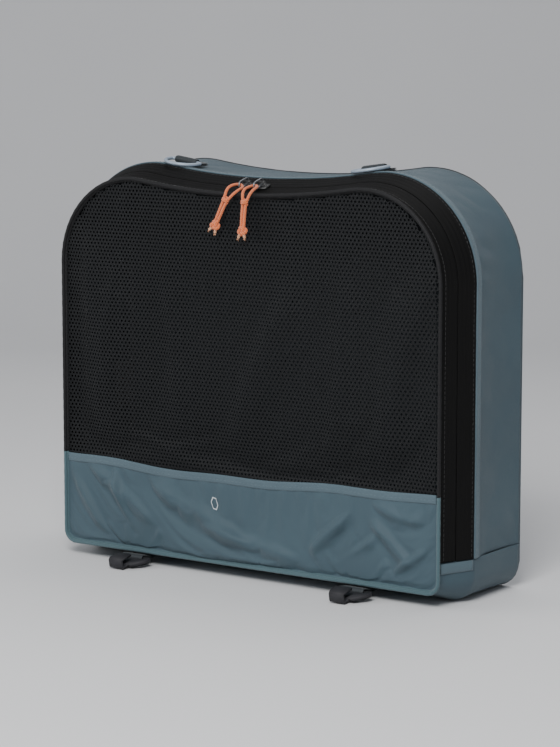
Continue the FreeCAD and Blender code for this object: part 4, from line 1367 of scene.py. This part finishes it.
HOOK_ROOM = 0.0007
HOOK_HEIGHT = 0.019
HOOK_RISE = 0.016
BAND_DEPTH = 1.65
BAND_UNEVEN = 0.0009
PULLS_PLACE = (-0.01, 0.245)
PULLS_REACH = (0.045, 0.035)
NET_FOOT = 0.0705
NET_SPAN = MIDDLE_HEIGHT + 0.01 - 0.06
MARK_SHARE = 0.8
MESH_DEPTH = 1.5
HOLE_WIDTH = 0.5
PIPING_RADIUS = 0.0014
SEAM_STITCHES = 0.003
FLANGE = (
    (0.0282, -0.0003), (0.0300, -0.0019), (0.0310, -0.0012), (0.0297, 0.0012), (0.0284, 0.0012),
)
BAND_FOLDS = (
    Fold((-0.140, 0.070), (-0.062, 0.020), 0.0030, 0.0060, 0.004),
    Fold((-0.112, 0.071), (-0.092, 0.024), 0.0022, 0.0045, -0.003),
    Fold((-0.092, 0.062), (0.018, 0.020), 0.0034, 0.0075, 0.004),
    Fold((-0.150, 0.060), (-0.118, 0.016), 0.0022, 0.0050, 0.003),
    Fold((-0.045, 0.036), (0.060, 0.017), 0.0024, 0.0055, 0.003),
    Fold((0.052, 0.024), (0.092, 0.058), 0.0026, 0.0050, 0.002),
    Fold((0.070, 0.018), (0.112, 0.048), 0.0022, 0.0040, -0.002),
    Fold((0.150, 0.056), (0.098, 0.066), 0.0020, 0.0060, 0.002),
    Fold((0.100, 0.055), (0.138, 0.022), 0.0024, 0.0050, 0.003),
    Fold((0.120, 0.020), (0.150, 0.040), 0.0016, 0.0040, 0.001),
)
HOOK_PUCKERS = tuple(
    Fold((place + lean * 0.004, 0.011), (place + lean * 0.012, 0.030), 0.0013, 0.0028)
    for place in (-0.092, 0.092)
    for lean in (-2.2, -0.8, 0.7, 2.0)
)
MESH_FOLDS = (
    Fold((-0.128, 0.070), (-0.098, 0.232), 0.0026, 0.018, 0.004),
    Fold((-0.055, 0.090), (-0.070, 0.225), 0.0020, 0.016, -0.006),
    Fold((-0.010, 0.080), (0.055, 0.215), 0.0030, 0.017, 0.010),
    Fold((0.070, 0.082), (0.080, 0.235), 0.0022, 0.014, -0.004),
    Fold((0.118, 0.074), (0.126, 0.225), 0.0030, 0.015, 0.006),
)


@dataclass
class SlackCloth:
    """A front panel as a grid that a cloth simulation crumples.

    low and high give the height of its edges at each X.
    """

    name: str
    low: Callable[[Array], Array]
    high: Callable[[Array], Array]
    columns: int
    rows: int
    rest_y: float

    def grid(self) -> Array:
        """The flat points, rows from the lower edge up, in X and Z."""
        a = np.linspace(-1, 1, self.columns)
        b = (1 - np.cos(np.linspace(0, math.pi, self.rows))) / 2 * 0.4
        b = b + np.linspace(0, 1, self.rows) * 0.6
        x = PANEL_EDGE * np.sin(a * math.pi / 2) * 0.25 + PANEL_EDGE * a * 0.75
        x = np.broadcast_to(x, (self.rows, self.columns))
        low, high = self.low(x), self.high(x)
        return np.stack([x, low + (high - low) * b[:, None]], axis=-1)

    def crumple(
        self, relief: Array, frames: int, shrink: float, push: float, stiff: float, limit: float
    ) -> Array:
        """Simulate the slack cloth between its sewn edges.

        Args:
            relief: How far each grid point stands out at the start.
            frames: How long to simulate.
            shrink: The cloth's shrinkage; negative where it has slack.
            push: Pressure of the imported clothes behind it.
            stiff: Bending stiffness.
            limit: The most that it may stand out.

        Returns:
            The grid's points afterwards.
        """
        flat = self.grid()
        y = self.rest_y - relief
        points = np.stack([flat[..., 0], y, flat[..., 1]], axis=-1)
        shape = relief.shape
        piece = make_piece("sim_" + self.name, points.reshape(-1, 3), grid_faces(*shape))
        pins = np.zeros(shape)
        pins[0], pins[-1], pins[:, 0], pins[:, -1] = 1, 1, 1, 1
        group = piece.vertex_groups.new(name="sewn")
        group.add([int(k) for k in np.flatnonzero(pins)], 1.0, "REPLACE")
        cloth = piece.modifiers.new("cloth", "CLOTH")
        settings = cloth.settings
        settings.quality = 6
        settings.mass = 0.05
        settings.vertex_group_mass = "sewn"
        settings.shrink_min = shrink
        settings.shrink_max = shrink
        settings.tension_stiffness = 12
        settings.compression_stiffness = 12
        settings.shear_stiffness = 4
        settings.bending_stiffness = stiff
        settings.air_damping = 3
        settings.use_pressure = push != 0
        settings.uniform_pressure_force = push
        settings.effector_weights.gravity = 0.2
        cloth.collision_settings.use_collision = False
        cloth.collision_settings.use_self_collision = False
        cloth.point_cache.frame_start = 1
        cloth.point_cache.frame_end = frames
        scene = bpy.context.scene
        for number in range(1, frames + 1):
            scene.frame_set(number)
        graph = bpy.context.evaluated_depsgraph_get()
        mesh = piece.evaluated_get(graph).to_mesh()
        found = np.empty(len(mesh.vertices) * 3)
        mesh.vertices.foreach_get("co", found)
        bpy.data.objects.remove(piece, do_unlink=True)
        scene.frame_set(1)
        found = found.reshape(*shape, 3)
        found[..., 1] = np.clip(found[..., 1], self.rest_y - limit, self.rest_y + limit)
        return found


def edge_fade(flat: Array, low: Array, high: Array, reach: float) -> Array:
    """Falls to 0 at a panel's edges, within reach of them."""
    near = np.minimum(flat[..., 1] - low, high - flat[..., 1])
    near = np.minimum(near, PANEL_EDGE - np.abs(flat[..., 0]))
    share = np.clip(near / reach, 0, 1)
    return share * share * (3 - 2 * share)


@dataclass
class Front:
    """The lid's mesh, the cloth band, their seams and the piping."""

    shop: Workshop
    pitch: float = 0.0029
    cloth_grid: Array | None = None

    def build(self) -> None:
        """Build the cloth, the net, the seam, the piping and the mark."""
        self.band()
        self.net()
        self.seam()
        self.piping()
        self.mark()

    def band(self) -> None:
        """One cloth from the bottom seam to the mesh."""
        cloth = SlackCloth("band", self.foot, seam_height, 220, 56, PANEL_OUT)
        flat = cloth.grid()
        x, z = flat[..., 0], flat[..., 1]
        relief = BAND_DEPTH * sum(fold.relief(x, z) for fold in BAND_FOLDS + HOOK_PUCKERS)
        relief = relief + BAND_UNEVEN * (1 + soft_noise(31, flat, (0.03, 0.014)))
        relief = relief * edge_fade(flat, self.foot(x), seam_height(x), 0.006)
        points = cloth.crumple(
            relief, frames=14, shrink=-0.007, push=0.02, stiff=0.02, limit=0.0085
        )
        clear = np.clip((seam_height(x) - z - 0.0045) / 0.006, 0, 1)
        out = (PANEL_OUT - points[..., 1]) * clear * (2 - clear)
        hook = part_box("hook_right")
        middle, reach = (hook[0][0] + hook[1][0]) / 2, hook[1][0] - hook[0][0]
        near = ((np.abs(x) - middle) / (0.8 * reach)) ** 4
        near = near + ((z - HOOK_HEIGHT) / HOOK_RISE) ** 4
        near = np.exp(-near)
        out = out * (1 - near) + np.minimum(out, HOOK_ROOM) * near
        points[..., 1] = PANEL_OUT - out
        self.cloth_grid = points
        piece = grid_piece("front_cloth", points, flat / MM)
        face_towards(piece, Vector((0, -1, 0)))
        piece = self.shop.wardrobe.coat(piece, BLUE_CLOTH)
        self.bend(piece)
        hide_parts("lid_band", "foot_band")

    def foot(self, x: Array) -> Array:
        """Height of the panel's lower edge, with its round corners."""
        small = FOOT_RADIUS - PANEL_INSET
        reach = np.clip(np.abs(x) - (HALF_WIDTH - FOOT_RADIUS), 0, small)
        return FOOT_RADIUS - np.sqrt(small**2 - reach**2)

    def bend(self, piece: bpy.types.Object) -> None:
        """Bake a piece's placement into its points."""
        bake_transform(piece)

    def net(self) -> None:
        """The knitted mesh: one thin sheet with a hole in every cell."""
        panel = SlackCloth("mesh", seam_height, panel_top, 90, 64, PANEL_OUT + 0.0001)
        flat = panel.grid()
        x, z = flat[..., 0], flat[..., 1]
        relief = MESH_DEPTH * sum(fold.relief(x, z) for fold in MESH_FOLDS)
        calm = np.exp(
            -(((x - PULLS_PLACE[0]) / PULLS_REACH[0]) ** 2)
            - ((z - PULLS_PLACE[1]) / PULLS_REACH[1]) ** 2
        )
        relief = relief * (1 - calm) * edge_fade(flat, seam_height(x), panel_top(x), 0.02)
        points = panel.crumple(
            relief, frames=12, shrink=-0.004, push=0.01, stiff=0.3, limit=0.006
        )
        limit = PANEL_OUT - 0.0009
        points[..., 1] = np.where(calm > 0.3, np.maximum(points[..., 1], limit), points[..., 1])
        cells, faces = self.cells()
        held = self.settle(cells, flat, points)
        seed = make_piece("net_seed", held, faces, cells / MM)
        material = self.shop.wardrobe.material(MESH_YARN)
        net = run_tree(seed, self.shop.holes, "mesh_net", Open=HOLE_WIDTH, Finish=material)
        self.shop.wardrobe.dress(net, MESH_YARN, Body.LID, "lid_mesh")

    def cells(self) -> tuple[Array, list[list[int]]]:
        """The net's six-sided cells, inside the panel's edges.

        Returns:
            Their corner points in X and Z, and each cell's corners.
        """
        side = self.pitch / math.sqrt(3)
        rise = 1.5 * side
        found: dict[tuple[int, int], int] = {}
        points: list[tuple[float, float]] = []
        faces = []
        rows = int(NET_SPAN / rise)
        columns = int(2 * PANEL_EDGE / self.pitch) + 2
        for row in range(rows):
            z = NET_FOOT + row * rise
            for column in range(columns):
                x = -PANEL_EDGE + (column + 0.5 * (row % 2)) * self.pitch
                reach = self.pitch * 0.45
                if abs(x) > PANEL_EDGE - reach or z < float(seam_height(np.array(x))) - 0.001:
                    continue
                if z > float(panel_top(np.array(abs(x) + reach))) - reach:
                    continue
                face = []
                for corner in range(6):
                    turn = math.radians(60 * corner + 30)
                    at = (x + side * math.cos(turn), z + side * math.sin(turn))
                    key = (round(at[0] * 2e5), round(at[1] * 2e5))
                    near = [(key[0] + i, key[1] + j) for i in (-1, 0, 1) for j in (-1, 0, 1)]
                    known = next((found[k] for k in near if k in found), None)
                    if known is None:
                        known = len(points)
                        found[key] = known
                        points.append(at)
                    face.append(known)
                faces.append(face)
        return np.array(points), faces

    def settle(self, cells: Array, flat: Array, points: Array) -> Array:
        """Lay flat places onto a crumpled grid of the same panel.

        Args:
            cells: The places, in X and Z.
            flat: The grid's flat points.
            points: The grid's crumpled points.

        Returns:
            The places on the crumpled cloth.
        """
        xs = flat[0, :, 0]
        column = np.clip(np.searchsorted(xs, cells[:, 0]) - 1, 0, len(xs) - 2)
        a = np.clip((cells[:, 0] - xs[column]) / (xs[column + 1] - xs[column]), 0, 1)
        out = np.empty((len(cells), 3))
        for k, (left, share) in enumerate(zip(column, a)):
            line = flat[:, left, 1] * (1 - share) + flat[:, left + 1, 1] * share
            move = points[:, left] * (1 - share) + points[:, left + 1] * share
            out[k, 1] = np.interp(cells[k, 1], line, move[:, 1])
            out[k, 0] = cells[k, 0]
            out[k, 2] = cells[k, 1]
        return out

    def seam(self) -> None:
        """The band's folded upper edge over the mesh, lighter as painted highlight, and its topstitching.
        """
        inside = 0.0012
        x = np.linspace(-PANEL_EDGE + inside, PANEL_EDGE - inside, 420)
        top = seam_height(x)
        profile = [
            (0.0006, 0.0000), (0.0004, -0.00045), (0.0, -0.0006), (-0.0015, -0.00055),
            (-0.0035, -0.00045), (-0.0048, -0.0004), (-0.0055, -0.0001), (-0.0055, 0.0003),
        ]
        pucker = 0.00012 * np.sin(x / STITCH_PITCH * 2 * math.pi)
        wave = 0.0003 * soft_noise(41, np.stack([x, x * 0], axis=-1), (0.03, 0.012))
        points, cloth = [], []
        for k, place in enumerate(x):
            for rise, out in profile:
                low = np.exp(-(((rise + SEAM_STITCHES) / 0.001) ** 2)) * pucker[k]
                points.append((place, PANEL_OUT + out + low + wave[k] - 0.0002, top[k] + rise))
                cloth.append((place / MM, rise / MM))
        piece = make_piece(
            "band_seam_cloth", np.array(points), grid_faces(len(x), len(profile)), np.array(cloth)
        )
        face_towards(piece, Vector((0, -1, 0)))
        self.shop.wardrobe.dress(piece, HEM_HIGHLIGHT_CLOTH, Body.LID, "band_seam")
        line = np.arange(x[0], x[-1], STITCH_PITCH)
        rise = np.interp(line, x, top) - SEAM_STITCHES
        depth = PANEL_OUT - 0.0006 + np.interp(line, x, wave)
        places = np.stack([line, depth, rise], axis=-1)
        outward = np.tile((0.0, -1.0, 0.0), (len(line), 1))
        row = self.shop.bead_row("band_stitches", places, outward, STITCH, BLUE_THREAD)
        self.shop.wardrobe.dress(row, BLUE_THREAD, Body.LID)

    def piping(self) -> None:
        """Round piping: dark along the mesh, and blue along the band and foot, its lighter teal a painted
        highlight.
        """
        inset = HALF_WIDTH - (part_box("foot_piping")[1][0] - PIPING_RADIUS)
        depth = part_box("foot_piping")[0][1] + PIPING_RADIUS
        rim = OUTLINE.rim_start + BAND_TOP - FOLD_HEIGHT
        for name, span, nodes, finish in (
            ("dark_piping", (rim, OUTLINE.total - rim), ("mesh_piping",), DARK_PIPING),
            (
                "blue_piping",
                (-rim, rim),
                ("foot_piping", "band_piping_left", "band_piping_right"),
                PIPING_HIGHLIGHT_CLOTH,
            ),
        ):
            along = np.linspace(*span, int((span[1] - span[0]) / 0.002)) % OUTLINE.total
            flat = OUTLINE.at(along, np.full_like(along, inset))
            line = np.stack([flat[:, 0], np.full_like(along, depth), flat[:, 1]], axis=-1)
            radius = 0.00128 + 0.00006 * np.sin(np.arange(len(line)) * 1.7)
            cord = tube(name, line, radius, 14)
            piece = joined(name, [cord, rim_strip(f"{name}_flange", span, FLANGE, 0.002)])
            if finish is DARK_PIPING:
                self.shop.wardrobe.dress(piece, finish, Body.LID, *nodes)
                continue
            piece.data.materials.append(self.shop.wardrobe.material(finish))
            self.bend(piece)
            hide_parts(*nodes)

    def mark(self) -> None:
        """A small plain outline printed on the band."""
        low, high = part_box("plain_mark")
        middle = (Vector(low) + Vector(high)) / 2
        half = [(-0.3, 0.5), (0.16, 0.42), (0.46, -0.1)]
        corners = half + [(-a, -b) for a, b in half]
        wide, tall = high[0] - low[0], high[2] - low[2]
        line = [
            (middle[0] + a * wide * MARK_SHARE, middle[2] + b * tall * MARK_SHARE)
            for a, b in corners
        ]
        outer = np.array([self.front_at(*place) for place in self.walk(line)])
        inner = outer.copy()
        centre = outer.mean(axis=0)
        inner[:, (0, 2)] = centre[[0, 2]] + (outer[:, (0, 2)] - centre[[0, 2]]) * 0.8
        points = np.concatenate([outer, inner])
        points[:, 1] -= 0.00035
        count = len(outer)
        faces = [(k, (k + 1) % count, count + (k + 1) % count, count + k) for k in range(count)]
        piece = make_piece("plain_outline_mark", points, faces, points[:, (0, 2)] / MM)
        face_towards(piece, Vector((0, -1, 0)))
        self.shop.wardrobe.dress(piece, MARK, Body.LID, "plain_mark")

    def walk(self, corners: Sequence[tuple[float, float]]) -> list[tuple[float, float]]:
        """Close steps round a closed line of corners."""
        places = []
        for first, last in zip(corners, [*corners[1:], corners[0]]):
            for share in np.linspace(0, 1, 10, endpoint=False):
                places.append(tuple(np.array(first) * (1 - share) + np.array(last) * share))
        return places

    def front_at(self, x: float, z: float) -> tuple[float, float, float]:
        """The point of the crumpled band in front of a place."""
        flat = self.cloth_grid
        gap = (flat[..., 0] - x) ** 2 + (flat[..., 2] - z) ** 2
        near = np.argsort(gap.ravel())[:4]
        weight = 1 / (gap.ravel()[near] + 1e-9)
        y = float((flat[..., 1].ravel()[near] * weight).sum() / weight.sum())
        return x, y, z


# ------------------------------------------------------------------ pulls


PULL_ROUTE = (
    (-0.00105, -0.0108, -0.0275),
    (-0.00115, -0.0107, -0.0180),
    (-0.00125, -0.0102, -0.0095),
    (-0.0037, -0.0080, -0.0016),
    (-0.0025, 0.0019, 0.0008),
    (0.0025, 0.0019, 0.0008),
    (0.0037, -0.0080, -0.0016),
    (0.00125, -0.0102, -0.0095),
    (0.00115, -0.0107, -0.0180),
    (0.00105, -0.0108, -0.0275),
)
SLIDER_OFFSET = 0.006
BAIL_TIP = (0, -0.0088, 0.0046)
PULL_LEANS = {Side.LEFT: -25.0, Side.RIGHT: -4.5}
CORD_DIAMETER = 0.002
WRAP_TURNS = 2.4


@dataclass
class Pull:
    """One zip pull: a doubled cord with its collar, knot and frayed ends."""

    shop: Workshop
    side: Side

    def carried(self) -> tuple[Matrix, Vector]:
        """How the pull hangs, and the tip of the bail that it hangs from."""
        along = self.side.value * SLIDER_OFFSET
        turn = math.asin(along / TOP_RADIUS)
        carry = Matrix.Rotation(-turn, 4, "Y")
        pivot = Vector((0, 0, SAG_CENTRE))
        tape = MIDDLE_HEIGHT - ZIP_MIDDLE * math.sin(SLOPE)
        reach = Vector(BAIL_TIP)
        lean = Matrix.Rotation(SLOPE, 4, "X")
        start = Vector((0, -SEAM - ZIP_MIDDLE * math.cos(SLOPE), tape)) + lean @ reach
        place = Matrix.Translation(pivot) @ carry @ Matrix.Translation(start - pivot)
        hang = Matrix.Rotation(math.radians(-PULL_LEANS[self.side]), 4, "Y")
        return place @ hang, place.to_translation()

    def build(self) -> None:
        """Build the cord and what is tied into it."""
        matrix, tip = self.carried()
        body = f"pull_{self.side.word}"
        route = [matrix @ Vector(point) for point in PULL_ROUTE]
        line = smooth_line(route)
        wardrobe = self.shop.wardrobe
        cord = tube(f"{body}_cord_braid", line, CORD_DIAMETER / 2, 14)
        wardrobe.dress(cord, ORANGE_CORD, body, f"pull_cord_{self.side.word}")
        collar = self.collar(matrix)
        wardrobe.dress(collar, ORANGE_CORD, body, f"pull_collar_{self.side.word}")
        knot = self.knot(matrix)
        wardrobe.dress(knot, ORANGE_CORD, body, f"pull_knot_{self.side.word}")
        tails = self.tails(matrix)
        wardrobe.dress(tails, CORD_TIP, body, f"pull_tails_{self.side.word}")

    def collar(self, matrix: Matrix) -> bpy.types.Object:
        """Turns of the cord that hold both strands together."""
        _, y, z = PULL_ROUTE[2]
        points = []
        whole = WRAP_TURNS * 2 * math.pi
        for turn in np.linspace(0, whole, 70):
            rise = (turn / whole - 0.5) * 0.0030
            points.append(matrix @ Vector(
                (0.00205 * math.cos(turn), y + 0.0012 * math.sin(turn), z + rise)
            ))
        return tube(f"pull_{self.side.word}_wrap", np.array(points), 0.00085, 10)

    def knot(self, matrix: Matrix) -> bpy.types.Object:
        """A pulled-tight overhand knot of the doubled cord."""
        _, y, z = PULL_ROUTE[0]
        points = []
        start = 0.4 if self.side is Side.LEFT else 1.3
        for turn in np.linspace(0, 2 * math.pi, 120) + start:
            reach = 1.65 + 0.9 * math.cos(3 * turn)
            points.append(matrix @ Vector((
                0.001 * reach * math.cos(2 * turn) * 1.15,
                y + 0.0009 * math.sin(3 * turn),
                z - 0.0012 + 0.001 * reach * math.sin(2 * turn),
            )))
        return tube(f"pull_{self.side.word}_tied_knot", np.array(points), 0.00118, 12)

    def tails(self, matrix: Matrix) -> bpy.types.Object:
        """The two cut ends below the knot, with their frayed threads."""
        _, y, z = PULL_ROUTE[0]
        random = np.random.default_rng(17 + self.side.value)
        parts = []
        for number, (lean, long) in enumerate(((-0.4, 0.0028), (0.45, 0.0024))):
            root = Vector((lean * 0.004, y - 0.0004, z - 0.0036))
            way = Vector((lean, -0.12, -1)).normalized()
            line = np.array([
                matrix @ (root + way * long * share) for share in np.linspace(0, 1, 8)
            ])
            radius = np.array([0.00095, 0.00098, 0.00096, 0.00098, 0.001, 0.00102, 0.00098, 0.0007])
            parts.append(tube(f"tail_{number}", line, radius, 10))
            end = root + way * long * 0.9
            for thread in range(9):
                spread = Vector(random.normal(0, 0.32, 3)) + way * 1.2
                spread.normalize()
                start = end + Vector(random.normal(0, 0.00028, 3))
                curl = Vector(random.normal(0, 0.0002, 3))
                threads = np.array([
                    matrix @ (start + spread * share * 0.0016 + curl * share**2)
                    for share in np.linspace(0, 1, 4)
                ])
                parts.append(tube(f"thread_{number}_{thread}", threads, 0.00013, 5))
        return joined(f"pull_{self.side.word}_frayed_ends", parts)


def smooth_line(route: Sequence[Vector]) -> Array:
    """Points of the smooth NURBS line that a cord's route controls."""
    curve = bpy.data.curves.new("route", "CURVE")
    curve.dimensions = "3D"
    curve.resolution_u = 16
    spline = curve.splines.new("NURBS")
    spline.points.add(len(route) - 1)
    for point, place in zip(spline.points, route):
        point.co = (*place, 1.0)
    spline.order_u = 3
    spline.use_endpoint_u = True
    holder = placed("route", curve)
    mesh = evaluated_mesh(holder)
    line = np.array([tuple(vertex.co) for vertex in mesh.vertices])
    bpy.data.objects.remove(holder, do_unlink=True)
    bpy.data.meshes.remove(mesh)
    return line


# ------------------------------------------------------------------ hardware


@dataclass(frozen=True)
class StrapRoute:
    """A strap's path: in along its lower layer, round a bar and back above.

    bar is the bar's Y and Z, and back the Y of the seam at the strap's ends.
    """

    bar: tuple[float, float]
    radius: float
    back: float
    low: float
    high: float

    def line(self) -> Array:
        """The path's points, as Y and Z."""
        y, z = self.bar
        turns = np.linspace(-0.5 * math.pi, -1.5 * math.pi, 16)
        loop = [(y + self.radius * math.cos(t), z + self.radius * math.sin(t)) for t in turns]
        start = np.linspace(self.back, y, 8, endpoint=False)
        drop = np.clip((start - self.back) / (y - self.back), 0, 1) ** 3
        first = [(a, self.low + (z - self.radius - self.low) * d) for a, d in zip(start, drop)]
        end = np.linspace(y, self.back, 14)[1:]
        share = np.clip((end - y) / ((self.back - y) * 0.55), 0, 1)
        ease = share * share * (3 - 2 * share)
        last = [
            (a, z + self.radius + (self.high - z - self.radius) * e) for a, e in zip(end, ease)
        ]
        return np.array(first + loop + last)


RING_PLACE = 0.078
SHARP_EDGE = math.radians(28)
RING_STRAP = StrapRoute((-0.002, 0.003), 0.00212, 0.011, 0.00062, 0.00168)
HOOK_STRAP = StrapRoute((-0.0472, 0.0052), 0.00222, -0.031, 0.0046, 0.00560)


@dataclass
class Hardware:
    """Sliders, bails, rings and hooks, with their webbing tabs."""

    shop: Workshop

    def build(self) -> None:
        """Finish the hard parts and build the webbing."""
        for side in Side:
            word = side.word
            self.refine(f"slider_{word}", "slider_body", SLIDER_METAL, f"slider_{word}", 0.0003)
            self.refine(f"bail_{word}", "bail_loop", BAIL_METAL, f"bail_{word}", 0)
            self.refine(f"d_ring_{word}", "wire_ring", RING_METAL, f"ring_{word}", 0)
            self.refine(f"hook_{word}", "moulded_hook", HOOK_PLASTIC, f"hook_{word}", 0.0004)
            turn = math.asin(side.value * RING_PLACE / TOP_RADIUS)
            ring = (
                Matrix.Translation((0, 0, SAG_CENTRE))
                @ Matrix.Rotation(-turn, 4, "Y")
                @ Matrix.Translation((0, 0, MIDDLE_HEIGHT - SAG_CENTRE))
            )
            self.strap(f"ring_tab_{word}", ring, RING_STRAP)
            low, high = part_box(f"hook_tab_{word}")
            hook = Matrix.Translation(((low[0] + high[0]) / 2, 0, 0))
            self.strap(f"hook_tab_{word}", hook, HOOK_STRAP)

    def strap(self, node: str, place: Matrix, route: StrapRoute) -> None:
        """A webbing strap round a bar, with both ends in a seam.

        Args:
            node: The frame node that it stands for.
            place: Where it lies.
            route: The path of its middle, in its own plane.
        """
        line = route.line()
        steps = np.gradient(line, axis=0)
        steps /= np.linalg.norm(steps, axis=1)[:, None]
        normal = np.stack([-steps[:, 1], steps[:, 0]], axis=1)
        thick, half, rib_height, rib_pitch = 0.00048, 0.009, 0.00007, 0.0009
        across = np.linspace(-half, half, 37)
        edge = np.sqrt(np.clip(1 - (np.abs(across) / half) ** 12, 0.03, 1))
        rib = rib_height * np.cos(across / rib_pitch * math.pi)
        outer = thick * edge + rib
        ring = [(a, o) for a, o in zip(across, outer)]
        ring += [(a, -o) for a, o in zip(across[::-1], outer[::-1])]
        lengths = run_lengths(line)
        points, cloth = [], []
        for (y, z), way, length in zip(line, normal, lengths):
            for a, out in ring:
                points.append(place @ Vector((a, y + way[0] * out, z + way[1] * out)))
                cloth.append((length / MM, a / MM))
        columns = len(ring)
        faces = grid_faces(len(line), columns, wrap=True)
        faces.append(tuple(range(columns)))
        faces.append(tuple(reversed(range((len(line) - 1) * columns, len(line) * columns))))
        piece = make_piece(f"{node}_webbing", np.array(points), faces, np.array(cloth))
        face_outwards(piece, weld=False)
        self.shop.wardrobe.dress(piece, WEBBING, Body.BAG, node)

    def refine(self, node: str, kind: str, finish: Finish, body: str, bevel: float) -> None:
        """A copy of a hard part with softened edges.

        Args:
            node: The frame node that it stands for.
            kind: A word for the piece's name.
            finish: Its finish.
            body: The body it rides on.
            bevel: Width of the softened edges, in metres, or 0.
        """
        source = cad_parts[node]
        mesh = source.data.copy()
        mesh.transform(source.matrix_world)
        piece = placed(f"{node}_{kind}", mesh)
        mesh.name = piece.name
        work = bmesh.new()
        work.from_mesh(mesh)
        bmesh.ops.remove_doubles(work, verts=work.verts, dist=1e-6)
        bmesh.ops.dissolve_limit(
            work, angle_limit=math.radians(1), verts=work.verts, edges=work.edges
        )
        bmesh.ops.recalc_face_normals(work, faces=work.faces)
        if bevel:
            sharp = [
                edge for edge in work.edges
                if len(edge.link_faces) == 2 and edge.calc_face_angle(0) > SHARP_EDGE
            ]
            bmesh.ops.bevel(
                work, geom=sharp, offset=bevel, segments=2, affect="EDGES", clamp_overlap=True
            )
        for face in work.faces:
            face.smooth = True
        work.to_mesh(mesh)
        work.free()
        while mesh.uv_layers:
            mesh.uv_layers.remove(mesh.uv_layers[0])
        map_places(mesh, lambda at: np.stack([at[:, 1] + at[:, 2], at[:, 0]], axis=-1))
        mesh.update()
        self.shop.wardrobe.dress(piece, finish, body, node)


# ------------------------------------------------------------------ the studio


LAMPS = (
    ("key_light", (0.55, -1.25, 1.2), 0.7, 27.0),
    ("fill_light", (-1.2, -0.9, 0.8), 1.1, 7.0),
    ("top_light", (0.1, 0.5, 1.5), 0.8, 5.0),
)


@dataclass
class Studio:
    """The floor, the lights and the camera."""

    azimuth: float = 35.0
    elevation: float = 8.0
    distance: float = 1.77
    aim: tuple[float, float, float] = (0.0, 0.0, 0.137)

    def build(self) -> None:
        """Build the floor, lights and camera."""
        self.floor()
        self.lights()
        self.camera()

    def floor(self) -> None:
        """A pale floor that rises softly behind the bag."""
        rows = [(-1.6, 0.0), (1.2, 0.0)]
        rows += [
            (1.2 + 0.8 * math.sin(t), 0.8 - 0.8 * math.cos(t)) for t in np.linspace(0.1, 1.5, 12)
        ]
        rows.append((2.0, 2.6))
        points = [(x, y, z - 0.0002) for y, z in rows for x in (-3.0, 3.0)]
        piece = make_piece("studio_floor", np.array(points), grid_faces(len(rows), 2))
        face_towards(piece, Vector((0, 0, 1)))
        turn = Matrix.Rotation(math.radians(self.azimuth), 4, "Z")
        piece.data.transform(turn)
        shader = Shader("studio_paper")
        noise = shader.node("ShaderNodeTexNoise")
        noise.inputs["Scale"].default_value = 3.0
        shader.link(shader.place(), noise.inputs["Vector"])
        tone = shader.mixed((0.72, 0.72, 0.73), (0.78, 0.78, 0.78), noise.outputs[0])
        shader.link(tone, shader.base.inputs["Base Color"])
        shader.set(roughness=0.8)
        piece.data.materials.append(shader.material)

    def lights(self) -> None:
        """Soft lamps above and at both sides, and a pale world."""
        for name, place, size, power in LAMPS:
            lamp = bpy.data.lights.new(name, "AREA")
            lamp.size = size
            lamp.energy = power
            holder = placed(name, lamp)
            holder.location = place
            holder.rotation_mode = "QUATERNION"
            way = Vector(self.aim) - Vector(place)
            holder.rotation_quaternion = way.to_track_quat("-Z", "Y")
        world = bpy.data.worlds.new("studio_world")
        world.use_nodes = True
        world.node_tree.nodes["Background"].inputs[0].default_value = (0.9, 0.93, 1.0, 1)
        world.node_tree.nodes["Background"].inputs[1].default_value = 0.32
        bpy.context.scene.world = world

    def camera(self) -> None:
        """The camera, seen from the front right and a little above."""
        lens = bpy.data.cameras.new("camera")
        lens.lens_unit = "FOV"
        lens.sensor_fit = "VERTICAL"
        lens.angle = math.radians(16.5)
        lens.clip_start = 0.05
        lens.clip_end = 20
        holder = placed("camera", lens)
        turn, rise = math.radians(self.azimuth), math.radians(self.elevation)
        back = Vector((
            math.sin(turn) * math.cos(rise), -math.cos(turn) * math.cos(rise), math.sin(rise)
        ))
        holder.location = Vector(self.aim) + back * self.distance
        holder.rotation_mode = "QUATERNION"
        holder.rotation_quaternion = (-back).to_track_quat("-Z", "Y")
        bpy.context.scene.camera = holder


def main() -> None:
    """Build the studio, then the cords, then everything else."""
    logging.basicConfig(level=logging.INFO, format="%(name)s: %(message)s")
    Studio().build()
    shop = Workshop()
    for side in Side:
        Pull(shop, side).build()
    Shell(shop).build()
    Zip(shop).build()
    Front(shop).build()
    Hardware(shop).build()


if __name__ == "__main__":
    main()
